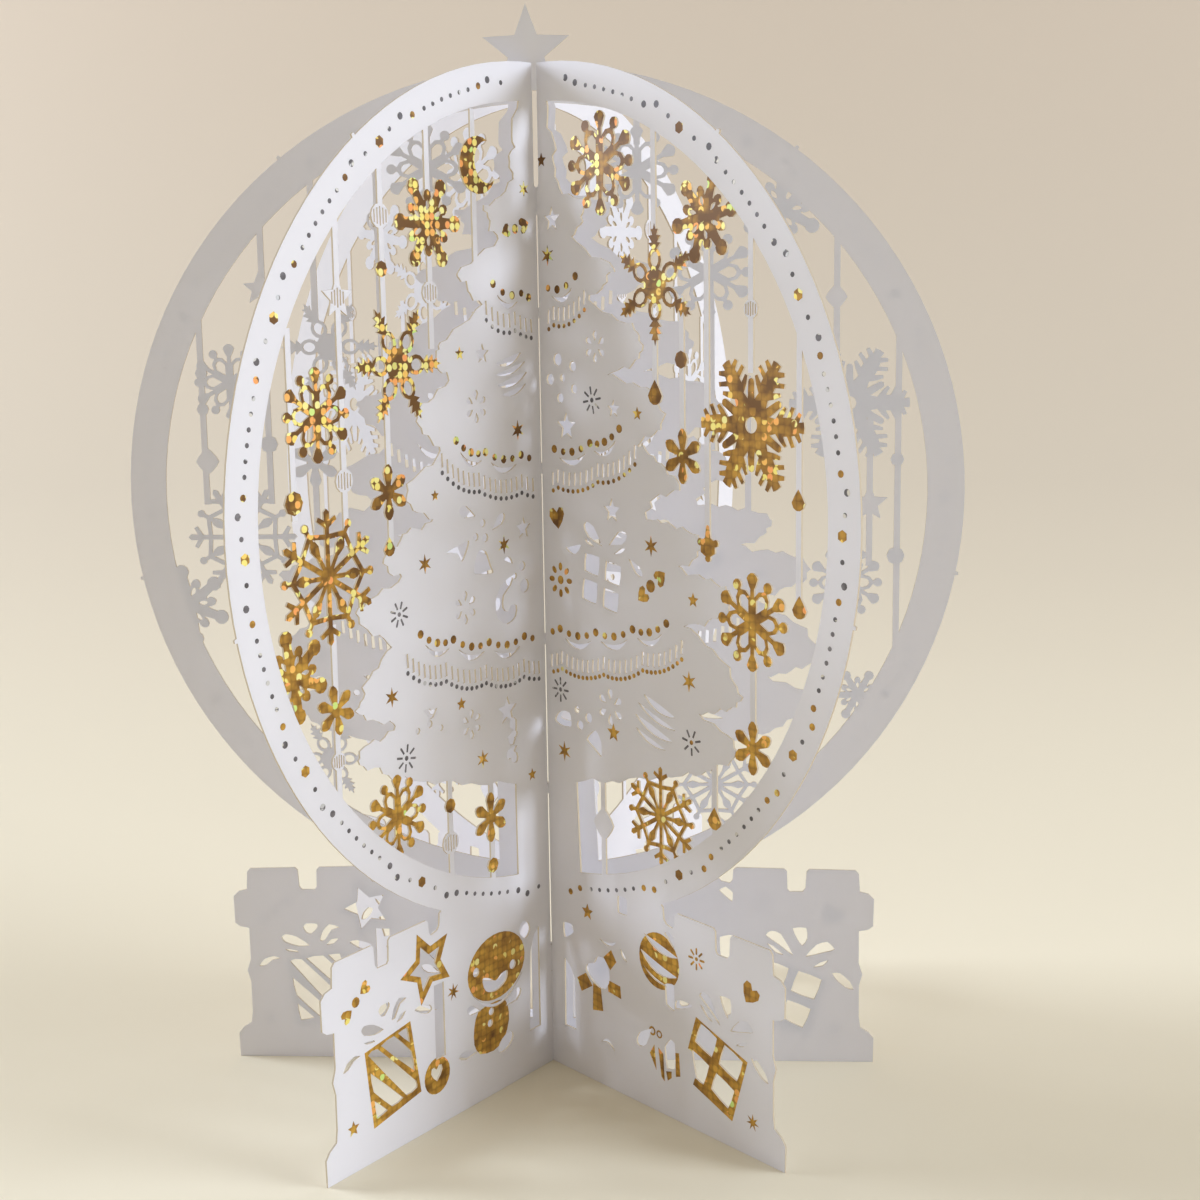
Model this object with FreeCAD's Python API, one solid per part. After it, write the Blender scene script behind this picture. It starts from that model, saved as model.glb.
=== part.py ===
import FreeCAD, Part
import math
import os
from FreeCAD import Vector

# Laser-cut pop up card: three folded sheets of white card nested fold to fold.
# Millimetres, +Z up, the foot stands on z = 0, the open side of the front sheet looks to -Y.

# ---- driving sizes
CARD_T = 0.35            # card thickness
GLUE_GAP = 0.05          # clearance left between two folds that sit against each other
RING_R = 75.0            # outer radius of the round frame
RING_BAND = 6.5          # width of the frame
RING_LOW = 31.9          # height of its lowest point, inside the foot
STRING_W = 1.1           # width of the hanging strings
CREASE_W = 0.8           # width of the perforated crease
TOP_NOTCH = (21.0, 1.8)  # length and width of the slot at the top of a V sheet's fold
FOOT_NOTCH = (18.0, 1.4) # the same at the foot
STAR_R = 7.9             # tree-top star
STAR_SHIFT = (-1.3, 2.1) # its centre from the top of the spine
SPIRE_W = 4.0            # half width of the tree where it meets the frame

# leaf directions seen from above, degrees from +X
FRONT_LEAVES = (237.0, 314.0)
MIDDLE_LEAVES = (180.0, 0.0)
REAR_LEAVES = (140.0, 62.0)

RING_IN = RING_R - RING_BAND
RING_MID = RING_R - RING_BAND / 2
RING_Z = RING_LOW + RING_R
SPINE_TOP = RING_Z + RING_R
BRIDGES = (22.0, 53.0, 81.0, 112.0, 139.5)   # heights where the crease stays uncut
BRIDGE_H = 1.8

# ---- outlines in the leaf plane: (distance from the spine, height)
FOOT = [(0, 0), (60, 0), (60, 5.2), (57.3, 7.2), (57.3, 25.9), (59.8, 25.9), (59.8, 32.8),
        (57.2, 33.3), (57.2, 37.2), (47.6, 37.2), (47.4, 33.3), (44.3, 33.3), (44, 37.4),
        (34.2, 37.6), (33.8, 34.6), (31.4, 34.6), (31, 37.6), (25, 38.4), (0, 36)]
TREE_A = [(0, 34), (9.4, 34), (9.4, 56), (24, 59.5), (37, 63.1), (44.5, 66.5), (49.3, 69.6),
          (40.2, 72.9), (49.1, 77.3), (46.9, 81.4), (40.9, 86.2), (48.2, 92.9), (44, 95.5),
          (37.5, 97.4), (41.7, 100.9), (36, 104.6), (29.5, 106), (35.4, 112.2), (27, 117.1),
          (32.2, 123.4), (24.5, 128.6), (26.8, 134), (15.8, 141.2), (21.5, 146.3), (10.8, 152),
          (13.9, 157.3), (6.6, 162.2)]
TREE_B = [(0, 34), (9.2, 34), (8.4, 55.8), (20, 58.3), (36, 62.4), (44, 65.4), (48.8, 69.8),
          (40.3, 73.9), (49.9, 78.1), (46.2, 83.2), (37, 88.2), (47.9, 93.4), (43.5, 96.4),
          (35.6, 98), (40.7, 102.7), (27.3, 105.9), (35.8, 111.2), (25.8, 117.4), (32, 122),
          (29, 126), (18.6, 129), (26.6, 134), (13.5, 141.4), (20.2, 146.5), (9.5, 152.3),
          (13, 157.8), (6, 161.5)]

# cusps of the garlands' hanging arcs, from the tree's edge inwards
GARLANDS_A = [[(23.3, 116.6), (15.7, 114.1), (6, 112.9)],
              [(33.6, 85.2), (25.4, 83), (16, 81), (6.2, 80.5)]]
GARLANDS_B = [[(21.3, 118), (13.6, 115.2), (3.9, 113.7)],
              [(32.6, 86), (24.1, 83.9), (14.4, 82.1), (4.6, 81.5)]]

STAR_CUT = [(34.6, 29.4, 3.9)]
GIFT_A = [[(49.6, 18.9), (47.4, 19.2), (38.7, 9.2), (41.2, 8.9)],
          [(46.4, 19.5), (43.8, 19.9), (39.4, 14.6), (39.0, 11.8)],
          [(49.2, 15.4), (48.8, 12.0), (44.2, 8.3), (41.8, 8.8)],
          [(48.5, 10.2), (48.1, 7.6), (45.7, 8.1)]]
PETALS_A = [[(51.2, 22.6), (49.4, 24.2), (45.8, 22.2)], [(46.9, 26), (44.3, 26.3), (45.6, 24.2)],
            [(43.8, 22.8), (42.6, 26.2), (40.2, 25.8)], [(55.4, 18.2), (53.8, 19.8), (51.6, 20)]]
CANDLE_A = [[(6.9, 8.3), (4.2, 8.3), (4.2, 27.6), (6.2, 23.5)],
            [(9.6, 28.2), (7.9, 29.7), (6.5, 28.5), (7.6, 26.6)]]
SLOT_A = [[(30.5, 11.8), (33.1, 11.8), (33.1, 27.0), (30.5, 27.0)]]
MAN_A = [[(19.9, 22.4), (13.2, 22.2), (14.6, 19.7), (18.4, 19.7)],
         [(14.2, 14.6), (12.4, 17.2), (9.6, 17.6)]]
GIFT_B = [[(40.6, 19.5), (44.2, 17.9), (42.7, 14.5), (39.0, 16.2)],
          [(46.3, 17.7), (50.2, 16.0), (48.9, 12.3), (44.8, 14.0)],
          [(38.4, 14.3), (42.3, 12.6), (40.8, 9.0), (39.0, 9.6)],
          [(44.3, 12.0), (48.2, 10.0), (46.8, 6.9), (43.0, 8.9)]]
PETALS_B = [[(40.2, 24.4), (41.9, 25.6), (44.9, 20.8)], [(45, 26.2), (47.7, 26.4), (46.8, 22.8)],
            [(47.5, 20.7), (50.2, 23.2), (52.6, 21.5)], [(52.3, 17.4), (54.5, 17.2), (56.2, 14.2)]]
CANDLE_B = [[(4.2, 8.3), (7.0, 8.3), (6.8, 17.8), (4.2, 21.2)],
            [(3.9, 28.3), (6.5, 28.3), (6.6, 26.9), (4.2, 25.4)]]
HOLES_B = [[(10.3, 20.4), (13.0, 24.2), (15.6, 24.0), (16.7, 21.2), (14.0, 18.3)],
           [(19.3, 34.1), (21.7, 34.1), (21.7, 37.0), (19.3, 37.0)],
           [(31.5, 20.6), (33.8, 20.0), (33.8, 24.6), (31.5, 24.0)],
           [(26.0, 26.0), (27.2, 24.2), (32.4, 25.0), (33.6, 27.4)],
           [(25.6, 30.0), (27.6, 32.0), (31.0, 30.6), (26.2, 28.8)]]
TREE_GIFT = [[(11.9, 97.9), (15.7, 97.5), (15.2, 94.1), (11.6, 94.8)],
             [(17.4, 97.1), (21.3, 96.4), (20.8, 93.0), (17.0, 93.7)],
             [(11.3, 93.3), (15.0, 92.8), (14.6, 89.1), (10.9, 89.8)],
             [(16.8, 92.3), (20.6, 91.6), (20.1, 88.2), (16.4, 88.9)]]
BAUBLE_B = [[(25.2, 73.2), (34.2, 69.4), (33.4, 70.6), (27.4, 73.6)],
            [(24.4, 69.4), (33.2, 66.6), (30.4, 68.6), (25.2, 70.4)]]


def at_ring(degrees, inset):
    """Place of an ornament that is held by the frame itself."""
    a = math.radians(degrees)
    return ((RING_R - inset) * math.cos(a), RING_Z + (RING_R - inset) * math.sin(a))


# ---- what hangs in the windows
# hung: strings from the frame's top (distance from the spine, lower end)
# tied: strings between two ornaments (distance, lower end, upper end)
# held: strings from the frame's bottom (distance, upper end)
# ornaments: kind, distance from the spine, height, radius
LEAF_A = {
    "tree": TREE_A,
    "foot_cuts": GIFT_A + PETALS_A + CANDLE_A + SLOT_A + MAN_A,
    "tree_cuts": [],
    "stars_cut": STAR_CUT + [(11.2, 69.8, 2.2)],
    "garlands": GARLANDS_A,
    "hung": [(17, 148), (28.6, 134), (39.8, 101), (50, 102), (60.9, 109)],
    "tied": [],
    "held": [(53.7, 92), (27.4, 62), (16.4, 59)],
    "ornaments": [("moon", 16.8, 164, 5.3), ("knob", 28.7, 154, 7.6), ("fern", 36.8, 131.6, 10),
                  ("knob", 55.5, 124.6, 7), ("wheel", 54.3, 99.5, 10.5),
                  ("knob", *at_ring(-19.3, 8.7), 7.2), ("knob", *at_ring(-50.6, 11.2), 7),
                  ("flower", 40.1, 111.5, 4.4), ("flower", 53.8, 78.2, 4.2),
                  ("flower", 16.6, 51.6, 4.4), ("star", 50, 142.4, 3.4)],
    "beads": [(61, 111.7, 1.9), (40, 146.8, 1.4), (16.4, 42.7, 1.4), (39.9, 155, 2),
              (28.6, 143.1, 2), (50, 114.2, 1.9), (27.5, 49.7, 1.9)],
}
LEAF_B = {
    "tree": TREE_B,
    "foot_cuts": GIFT_B + PETALS_B + CANDLE_B + HOLES_B,
    "tree_cuts": TREE_GIFT + BAUBLE_B,
    "stars_cut": [(7.2, 119.8, 2.4), (4.2, 155.4, 2.0)],
    "garlands": GARLANDS_B,
    "hung": [(17.2, 165), (30.3, 126), (42.5, 102), (52.3, 128), (62.5, 93)],
    "tied": [(36.7, 116, 142)],
    "held": [(52.7, 88), (15.7, 59), (43.9, 66)],
    "ornaments": [("knob", 17.2, 165, 8.4), ("knob", 42, 154, 7.2), ("fern", 30, 144.6, 9.4),
                  ("claw", 52.4, 121.9, 11.2), ("wheel", 52.7, 90.8, 8), ("wheel", 30.8, 54.3, 8.6),
                  ("flower", 36.8, 116.2, 4.5), ("flower", 52.7, 70.2, 4.4)],
    "beads": [(36.6, 131.8, 1.5), (30.3, 126.2, 1.8), (42.6, 102.2, 2.4), (62.4, 110.8, 1.4),
              (62.7, 94.1, 1.5), (43.9, 56.4, 1.5), (15.7, 49.6, 2.8), (52.3, 139.8, 1.6)],
}
LEAF_C = {
    "tree": TREE_A,
    "foot_cuts": GIFT_A + PETALS_A + CANDLE_A + SLOT_A,
    "tree_cuts": [],
    "stars_cut": [(35.4, 30.4, 3.3)],
    "garlands": [],
    "hung": [(61, 102), (49.2, 102), (39.9, 138), (28.2, 130), (19, 165)],
    "tied": [(41, 100, 128)],
    "held": [(39.4, 66)],
    "ornaments": [("knob", 55.8, 128, 6.6), ("wheel", 54.8, 100, 9.8), ("star", 49.8, 144.4, 3),
                  ("knob", *at_ring(-16.6, 6.8), 7.4), ("fern", 37.5, 134, 8.4),
                  ("flower", 41, 113.4, 4.6), ("knob", 19, 164.6, 7.6), ("fern", 40, 58.5, 7.4)],
    "beads": [(60.6, 113.8, 2.4), (49.2, 116.8, 1.7), (28.2, 156, 1.9)],
}
LEAF_D = {
    "tree": TREE_B,
    "foot_cuts": GIFT_B + PETALS_B + CANDLE_B,
    "tree_cuts": [],
    "stars_cut": [],
    "garlands": [],
    "hung": [(52.3, 128), (63.2, 78), (30.4, 115), (36.8, 104), (17.6, 164)],
    "tied": [(58.3, 91, 121)],
    "held": [(30.6, 62)],
    "ornaments": [("knob", *at_ring(49.5, 9.4), 7.2), ("claw", 54.6, 123, 10.6),
                  ("star", 58.3, 105.2, 3.4), ("knob", 54.2, 91, 6.8), ("knob", 30, 146, 7.8),
                  ("knob", 17.6, 163.6, 7.6), ("knob", *at_ring(-32.9, 7.7), 4.8),
                  ("wheel", 30.8, 53.6, 8.2)],
    "beads": [(52.2, 141.5, 2.1), (63.1, 113, 1.4), (63, 95.8, 1.7)],
}


def plainer(leaf, foot_cuts):
    """The same drawing without its small cuts, beads and flowers."""
    large = [row for row in leaf["ornaments"] if row[0] != "flower"]
    return {**leaf, "foot_cuts": foot_cuts, "tree_cuts": [], "stars_cut": [], "garlands": [],
            "ornaments": large, "beads": []}


REAR_A = plainer(LEAF_A, GIFT_A + CANDLE_A + SLOT_A)
REAR_B = plainer(LEAF_B, GIFT_B + CANDLE_B)


def flat(points):
    """Face of a closed polygon in the leaf plane (XZ)."""
    pts = [Vector(x, 0, z) for x, z in points]
    return Part.Face(Part.makePolygon(pts + pts[:1]))


def rect(x0, z0, x1, z1):
    return flat([(x0, z0), (x1, z0), (x1, z1), (x0, z1)])


def spokes(cx, cz, radius, count, valley, steps, start=90.0):
    """Outline of `count` equal arms with one valley point between neighbours.

    `valley` is a share of the radius; steps are (along, across) shares of it.
    """
    pts = []
    for k in range(count):
        a = math.radians(start + 360.0 * k / count)
        h = math.radians(start + 360.0 * (k - 0.5) / count)
        pts.append((cx + radius * valley * math.cos(h), cz + radius * valley * math.sin(h)))
        arm = steps + [(u, -v) for u, v in reversed(steps) if v > 0]
        for u, v in arm:
            pts.append((cx + radius * (u * math.cos(a) + v * math.sin(a)),
                        cz + radius * (u * math.sin(a) - v * math.cos(a))))
    return pts


def star_points(cx, cz, radius, inner=0.42, start=90.0):
    pts = []
    for k in range(10):
        a = math.radians(start + 36.0 * k)
        r = radius if k % 2 == 0 else radius * inner
        pts.append((cx + r * math.cos(a), cz + r * math.sin(a)))
    return pts


ARMS = {
    "knob": (6, 0.36, [(0.97, 0.17)]),
    "fern": (6, 0.28, [(0.68, 0.24), (1.0, 0.0)]),
    "claw": (6, 0.34, [(0.72, 0.3), (1.0, 0.14)]),
    "wheel": (12, 0.66, [(1.0, 0.0)]),
    "flower": (6, 0.42, [(1.0, 0.0)]),
}


def hanging(kind, cx, cz, radius):
    """One paper ornament as a face."""
    if kind == "star":
        return flat(star_points(cx, cz, radius))
    if kind == "moon":
        outer = [(cx + radius * math.cos(math.radians(a)), cz + radius * math.sin(math.radians(a)))
                 for a in range(60, 331, 45)]
        inner = [(cx + 2.2 + 3.4 * math.cos(math.radians(a)),
                  cz + 1.0 + 3.4 * math.sin(math.radians(a))) for a in (260, 200, 140)]
        return flat(outer + inner)
    count, valley, steps = ARMS[kind]
    return flat(spokes(cx, cz, radius, count, valley, steps))


def bead(cx, cz, radius):
    """Lozenge bead threaded on a string."""
    tall = 1.2 * radius
    return flat([(cx, cz + tall), (cx - radius, cz), (cx, cz - tall), (cx + radius, cz)])


def crescents(cusps):
    """Thin hanging openings of one garland, one between each two cusps."""
    out = []
    for (x0, z0), (x1, z1) in zip(cusps[:-1], cusps[1:]):
        mid = ((x0 + x1) / 2, (z0 + z1) / 2)
        a = (x0 + (x1 - x0) * 0.2, z0 + (z1 - z0) * 0.2)
        b = (x0 + (x1 - x0) * 0.8, z0 + (z1 - z0) * 0.8)
        out.append(flat([a, (mid[0], mid[1] - 0.6), b, (mid[0], mid[1] - 1.5)]))
    return out


def strings(leaf):
    """Upright strips; what the frame carries ends in the middle of its band."""
    spans = list(leaf["tied"])
    for x, low in leaf["hung"]:
        spans.append((x, low, RING_Z + math.sqrt(RING_MID ** 2 - x ** 2)))
    for x, high in leaf["held"]:
        spans.append((x, RING_Z - math.sqrt(RING_MID ** 2 - x ** 2), high))
    return [rect(x - STRING_W / 2, low, x + STRING_W / 2, high) for x, low, high in spans]


def tree(outline):
    """Half tree whose spire runs into the frame."""
    top = SPINE_TOP - RING_BAND / 2
    return flat(outline + [(SPIRE_W, top), (0, top)])


def half_ring():
    """Right half of the round frame."""
    top_out, top_in = Vector(0, 0, SPINE_TOP), Vector(0, 0, RING_Z + RING_IN)
    low_out, low_in = Vector(0, 0, RING_Z - RING_R), Vector(0, 0, RING_Z - RING_IN)
    outer = Part.Arc(top_out, Vector(RING_R, 0, RING_Z), low_out).toShape()
    inner = Part.Arc(low_in, Vector(RING_IN, 0, RING_Z), top_in).toShape()
    edges = [outer, Part.makeLine(low_out, low_in), inner, Part.makeLine(top_in, top_out)]
    return Part.Face(Part.Wire(edges))


def inside_disc(face):
    """Ornaments that reach past the frame are trimmed on its outer edge."""
    disc = Part.Face(Part.Wire(Part.makeCircle(RING_R - 1, Vector(0, 0, RING_Z), Vector(0, 1, 0))))
    return face.common(disc)


def crease_cuts(notched):
    """Openings along the fold, each half a crease or notch wide."""
    foot, top = 0.0, SPINE_TOP
    cuts = []
    if notched:
        foot, top = FOOT_NOTCH[0], SPINE_TOP - TOP_NOTCH[0]
        cuts.append(rect(-1, -1, FOOT_NOTCH[1] / 2, foot))
        cuts.append(rect(-1, top, TOP_NOTCH[1] / 2, SPINE_TOP + 1))
    stops = list(BRIDGES) + [top - 2 * BRIDGE_H]
    for low, high in zip(stops[:-1], stops[1:]):
        cuts.append(rect(-1, low + BRIDGE_H / 2, CREASE_W / 2, high - BRIDGE_H / 2))
    return cuts


def leaf_face(leaf, notched):
    """Outline of one leaf with everything that is cut out of it."""
    pieces = strings(leaf)
    pieces += [hanging(*row) for row in leaf["ornaments"]]
    pieces += [bead(*row) for row in leaf["beads"]]
    inner = [inside_disc(p) for p in pieces]
    face = tree(leaf["tree"]).multiFuse([half_ring(), flat(FOOT)] + inner)
    cuts = [flat(p) for p in leaf["foot_cuts"] + leaf["tree_cuts"]]
    cuts += [flat(star_points(*row)) for row in leaf["stars_cut"]]
    for cusps in leaf["garlands"]:
        cuts += crescents(cusps)
    face = face.cut(cuts + crease_cuts(notched))
    return face.removeSplitter()


def slab(face):
    """Card thickness, centred on the leaf plane."""
    solid = face.extrude(Vector(0, CARD_T, 0))
    solid.translate(Vector(0, -CARD_T / 2, 0))
    return solid


def turned(solid, degrees):
    solid.rotate(Vector(0, 0, 0), Vector(0, 0, 1), degrees)
    return solid


def fold_spans(notched):
    """Heights between which the fold is not cut through."""
    low, high = 0.0, SPINE_TOP
    if notched:
        low, high = FOOT_NOTCH[0], SPINE_TOP - TOP_NOTCH[0]
    stops = list(BRIDGES) + [high - 2 * BRIDGE_H]
    spans = [(low, BRIDGES[0] + BRIDGE_H / 2)]
    spans += [(z - BRIDGE_H / 2, z + BRIDGE_H / 2) for z in stops[1:-1]]
    spans.append((stops[-1] - BRIDGE_H / 2, high))
    return spans


def fold_backs(angles, side):
    """Rounded outside of the fold, in three flats from one leaf's face to the other's."""
    start = angles[0] + side * 90.0
    turn = (angles[1] - side * 90.0 - start) % (side * 360.0)
    corner = [math.radians(start + turn * k / 3) for k in range(4)]
    rim = [Vector(math.cos(a), math.sin(a), 0) * (CARD_T / 2) for a in corner]
    base = Part.Face(Part.makePolygon([Vector(0, 0, 0)] + rim + [Vector(0, 0, 0)]))
    backs = []
    for low, high in fold_spans(True):
        back = base.extrude(Vector(0, 0, high - low))
        back.translate(Vector(0, 0, low))
        backs.append(back)
    return backs


def v_sheet(left, right, angles, side):
    """A sheet folded to a V; side -1 opens to the front, +1 to the rear."""
    parts = [turned(slab(leaf_face(left, True)), angles[0]),
             turned(slab(leaf_face(right, True)), angles[1])]
    sheet = parts[0].fuse([parts[1]] + fold_backs(angles, side))
    sheet.translate(Vector(0, side * (CARD_T + GLUE_GAP), 0))
    return sheet


def middle_sheet():
    """The sheet that stands flat across, with the star on top."""
    left = turned(slab(leaf_face(LEAF_C, False)), MIDDLE_LEAVES[0])
    right = turned(slab(leaf_face(LEAF_D, False)), MIDDLE_LEAVES[1])
    star = flat(star_points(STAR_SHIFT[0], SPINE_TOP + STAR_SHIFT[1], STAR_R))
    neck = rect(-5.6, SPINE_TOP - 2, 2.8, SPINE_TOP)
    trim = rect(-STAR_R - 5, 0, STAR_R + 5, SPINE_TOP - 1.5)
    topper = slab(star.fuse(neck).cut(trim).removeSplitter())
    return left.fuse([right, topper]).removeSplitter()


os.makedirs("parts", exist_ok=True)
SHEETS = {
    "front_sheet": v_sheet(LEAF_A, LEAF_B, FRONT_LEAVES, -1),
    "middle_sheet": middle_sheet(),
    "rear_sheet": v_sheet(REAR_B, REAR_A, REAR_LEAVES, 1),
}
for name, shape in SHEETS.items():
    solid = shape.removeSplitter()
    if len(solid.Solids) == 1:
        solid = solid.Solids[0]
    solid.exportStep("parts/" + name + ".step")
    box = solid.BoundBox
    print(name, "solids", len(shape.Solids), "valid", solid.isValid(),
          "volume %.1f" % solid.Volume, "faces", len(solid.Faces),
          "x %.1f %.1f y %.1f %.1f z %.1f %.1f" % (box.XMin, box.XMax, box.YMin, box.YMax,
                                                   box.ZMin, box.ZMax))
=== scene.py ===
import math

import bpy
from mathutils import Matrix, Vector
from mathutils.geometry import delaunay_2d_cdt


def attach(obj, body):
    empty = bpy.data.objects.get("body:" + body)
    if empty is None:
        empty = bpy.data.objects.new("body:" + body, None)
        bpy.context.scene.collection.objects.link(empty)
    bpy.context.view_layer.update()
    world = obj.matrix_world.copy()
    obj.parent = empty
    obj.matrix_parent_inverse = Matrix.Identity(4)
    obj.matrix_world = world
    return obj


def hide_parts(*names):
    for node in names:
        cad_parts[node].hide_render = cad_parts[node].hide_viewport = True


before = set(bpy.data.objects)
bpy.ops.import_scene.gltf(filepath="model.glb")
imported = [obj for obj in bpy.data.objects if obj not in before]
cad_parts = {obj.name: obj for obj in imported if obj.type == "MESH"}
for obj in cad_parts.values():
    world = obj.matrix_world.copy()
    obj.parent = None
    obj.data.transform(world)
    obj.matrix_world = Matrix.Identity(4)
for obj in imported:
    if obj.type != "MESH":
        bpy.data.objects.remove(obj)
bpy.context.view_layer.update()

# Leaf drawings are in millimetres: (distance from the spine, height above the table).
MM = 0.001

# sizes shared with the part
CARD_T = 0.35
GLUE_GAP = 0.05
RING_R = 75.0
RING_BAND = 6.5
RING_Z = 106.9
RING_IN = RING_R - RING_BAND
SPINE_TOP = RING_Z + RING_R
STRING_W = 1.1
CREASE_W = 0.8
TOP_NOTCH = (21.0, 1.8)
FOOT_NOTCH = (18.0, 1.4)
BRIDGES = (22.0, 53.0, 81.0, 112.0, 139.5)
BRIDGE_H = 1.8
STAR_AT = (-1.3, 184.0)
STAR_R = 7.9
NECK = (-5.6, 2.8)
FOIL_T = 0.02
FRONT_LEAVES = (237.0, 314.0)
MIDDLE_LEAVES = (180.0, 0.0)
REAR_LEAVES = (140.0, 62.0)


# outlines

def turn(cx, cz, radius, degrees):
    a = math.radians(degrees)
    return (cx + radius * math.cos(a), cz + radius * math.sin(a))


def disc(cx, cz, radius, count=14, start=0.0):
    return [turn(cx, cz, radius, start + 360.0 * k / count) for k in range(count)]


def oval(cx, cz, a, b, tilt=0.0, count=14):
    t = math.radians(tilt)
    pts = []
    for k in range(count):
        u = a * math.cos(2 * math.pi * k / count)
        v = b * math.sin(2 * math.pi * k / count)
        pts.append((cx + u * math.cos(t) - v * math.sin(t), cz + u * math.sin(t) + v * math.cos(t)))
    return pts


def rect(x0, z0, x1, z1):
    return [(x0, z0), (x1, z0), (x1, z1), (x0, z1)]


def star(cx, cz, radius, points=5, inner=0.45, start=90.0):
    step = 180.0 / points
    return [turn(cx, cz, radius if k % 2 == 0 else radius * inner, start + step * k)
            for k in range(2 * points)]


def bar(x0, z0, x1, z1, w0, w1=None, round_end=True):
    """Straight arm from one point to another, tapering from width w0 to w1."""
    w1 = w0 if w1 is None else w1
    a = math.degrees(math.atan2(z1 - z0, x1 - x0))
    pts = [turn(x0, z0, w0 / 2, a + 90), turn(x0, z0, w0 / 2, a - 90)]
    if round_end:
        pts += [turn(x1, z1, w1 / 2, a + d) for d in (-90, -50, 0, 50, 90)]
    else:
        pts += [turn(x1, z1, w1 / 2, a - 90), turn(x1, z1, w1 / 2, a + 90)]
    return pts


def mirrored(cx, cz, size, degrees, half):
    """Outline with two like sides about a line that starts at (cx, cz)."""
    a = math.radians(degrees)
    both = half + [(u, -v) for u, v in reversed(half) if v]
    return [(cx + size * (u * math.cos(a) - v * math.sin(a)),
             cz + size * (u * math.sin(a) + v * math.cos(a))) for u, v in both]


def petal(cx, cz, length, width, degrees, blunt=0.62):
    """Drop-shaped petal from its narrow foot at (cx, cz)."""
    k = width / 2 / length
    return mirrored(cx, cz, length, degrees, [(0, 0.02 * k), (0.3, 0.55 * k), (blunt, k),
                                              (0.86, 0.74 * k), (0.98, 0.25 * k)])


def soft(points, steps=3, tension=0.5):
    """Closed outline drawn smoothly through the given points."""
    out = []
    n = len(points)
    for i in range(n):
        p0, p1, p2, p3 = (points[(i + k - 1) % n] for k in range(4))
        for s in range(steps):
            t = s / steps
            h = [2 * t ** 3 - 3 * t ** 2 + 1, t ** 3 - 2 * t ** 2 + t,
                 -2 * t ** 3 + 3 * t ** 2, t ** 3 - t ** 2]
            out.append(tuple(h[0] * p1[c] + h[1] * tension * (p2[c] - p0[c])
                             + h[2] * p2[c] + h[3] * tension * (p3[c] - p1[c]) for c in (0, 1)))
    return out


def bend(x0, z0, x1, z1, sag, width, count=6):
    """Curved band between two points, widest in the middle."""
    upper, lower = [], []
    dx, dz = x1 - x0, z1 - z0
    length = math.hypot(dx, dz)
    nx, nz = dz / length, -dx / length
    for k in range(count + 1):
        t = k / count
        lift = 4 * t * (1 - t)
        x, z = x0 + dx * t + nx * sag * lift, z0 + dz * t + nz * sag * lift
        h = width / 2 * (0.12 + 0.88 * lift)
        upper.append((x - nx * h, z - nz * h))
        lower.append((x + nx * h, z + nz * h))
    return lower + upper[::-1]


def ruffled(pts):
    """Small lobes in an uneven rhythm along a line."""
    out = [pts[0]]
    for k in range(1, len(pts) - 1):
        (x0, z0), (x1, z1) = pts[k - 1], pts[k + 1]
        push = (0.34 * math.sin(2.3 * k) + 0.2 * math.sin(5.1 * k + 1.0)) / (
            math.hypot(x1 - x0, z1 - z0) or 1.0)
        out.append((pts[k][0] + push * (z1 - z0), pts[k][1] - push * (x1 - x0)))
    return out + [pts[-1]]


def heart(cx, cz, radius, tilt=0.0):
    shape = [(0, -1), (0.62, -0.42), (0.98, 0.18), (0.86, 0.72), (0.42, 0.82), (0.05, 0.42),
             (-0.36, 0.84), (-0.84, 0.74), (-0.98, 0.18), (-0.62, -0.42)]
    t = math.radians(tilt)
    return [(cx + radius * (u * math.cos(t) - v * math.sin(t)),
             cz + radius * (u * math.sin(t) + v * math.cos(t))) for u, v in shape]


# a drawing is a list of (what it does, outline); later shapes lie over earlier ones
# "+" is card, "-" is cut away, "g" gold foil, "s" silver foil, "n" bare card

def burst(cx, cz, radius, op="s", count=8, dot="s", start=0.0):
    """Small snow burst of short strokes round a dot."""
    rows = [(dot, disc(cx, cz, radius * 0.2, 8))]
    for k in range(count):
        a = start + 360.0 * k / count
        p, q = turn(cx, cz, radius * 0.45, a), turn(cx, cz, radius, a)
        rows.append((op, bar(*p, *q, 0.34, 0.4)))
    return rows


def petals(cx, cz, radius, op="-", count=6, width=1.15, foot=0.36, start=90.0):
    rows = []
    for k in range(count):
        a = start + 360.0 * k / count
        rows.append((op, petal(*turn(cx, cz, radius * foot, a), radius * (1 - foot), width, a)))
    return rows


def knob_flake(cx, cz, radius, op="+g", start=90.0):
    """Six long arms with drop-shaped knobs, six short ones with an eye at the root."""
    rows = [(op, disc(cx, cz, radius * 0.2, 12))]
    for k in range(6):
        a = start + 60.0 * k
        short = turn(cx, cz, radius * 0.84, a + 30)
        rows += [(op, bar(cx, cz, *turn(cx, cz, radius * 0.8, a), radius * 0.1)),
                 (op, petal(*turn(cx, cz, radius * 0.6, a), radius * 0.4, radius * 0.3, a, 0.7)),
                 (op, petal(*turn(cx, cz, radius * 0.1, a + 30), radius * 0.62, radius * 0.42,
                            a + 30, 0.55)),
                 (op, bar(*turn(cx, cz, radius * 0.6, a + 30), *short, radius * 0.1)),
                 (op, disc(*short, radius * 0.115, 10))]
    for k in range(6):
        a = start + 30 + 60.0 * k
        rows.append(("-", petal(*turn(cx, cz, radius * 0.21, a), radius * 0.41, radius * 0.26, a, 0.55)))
    return rows


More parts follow.
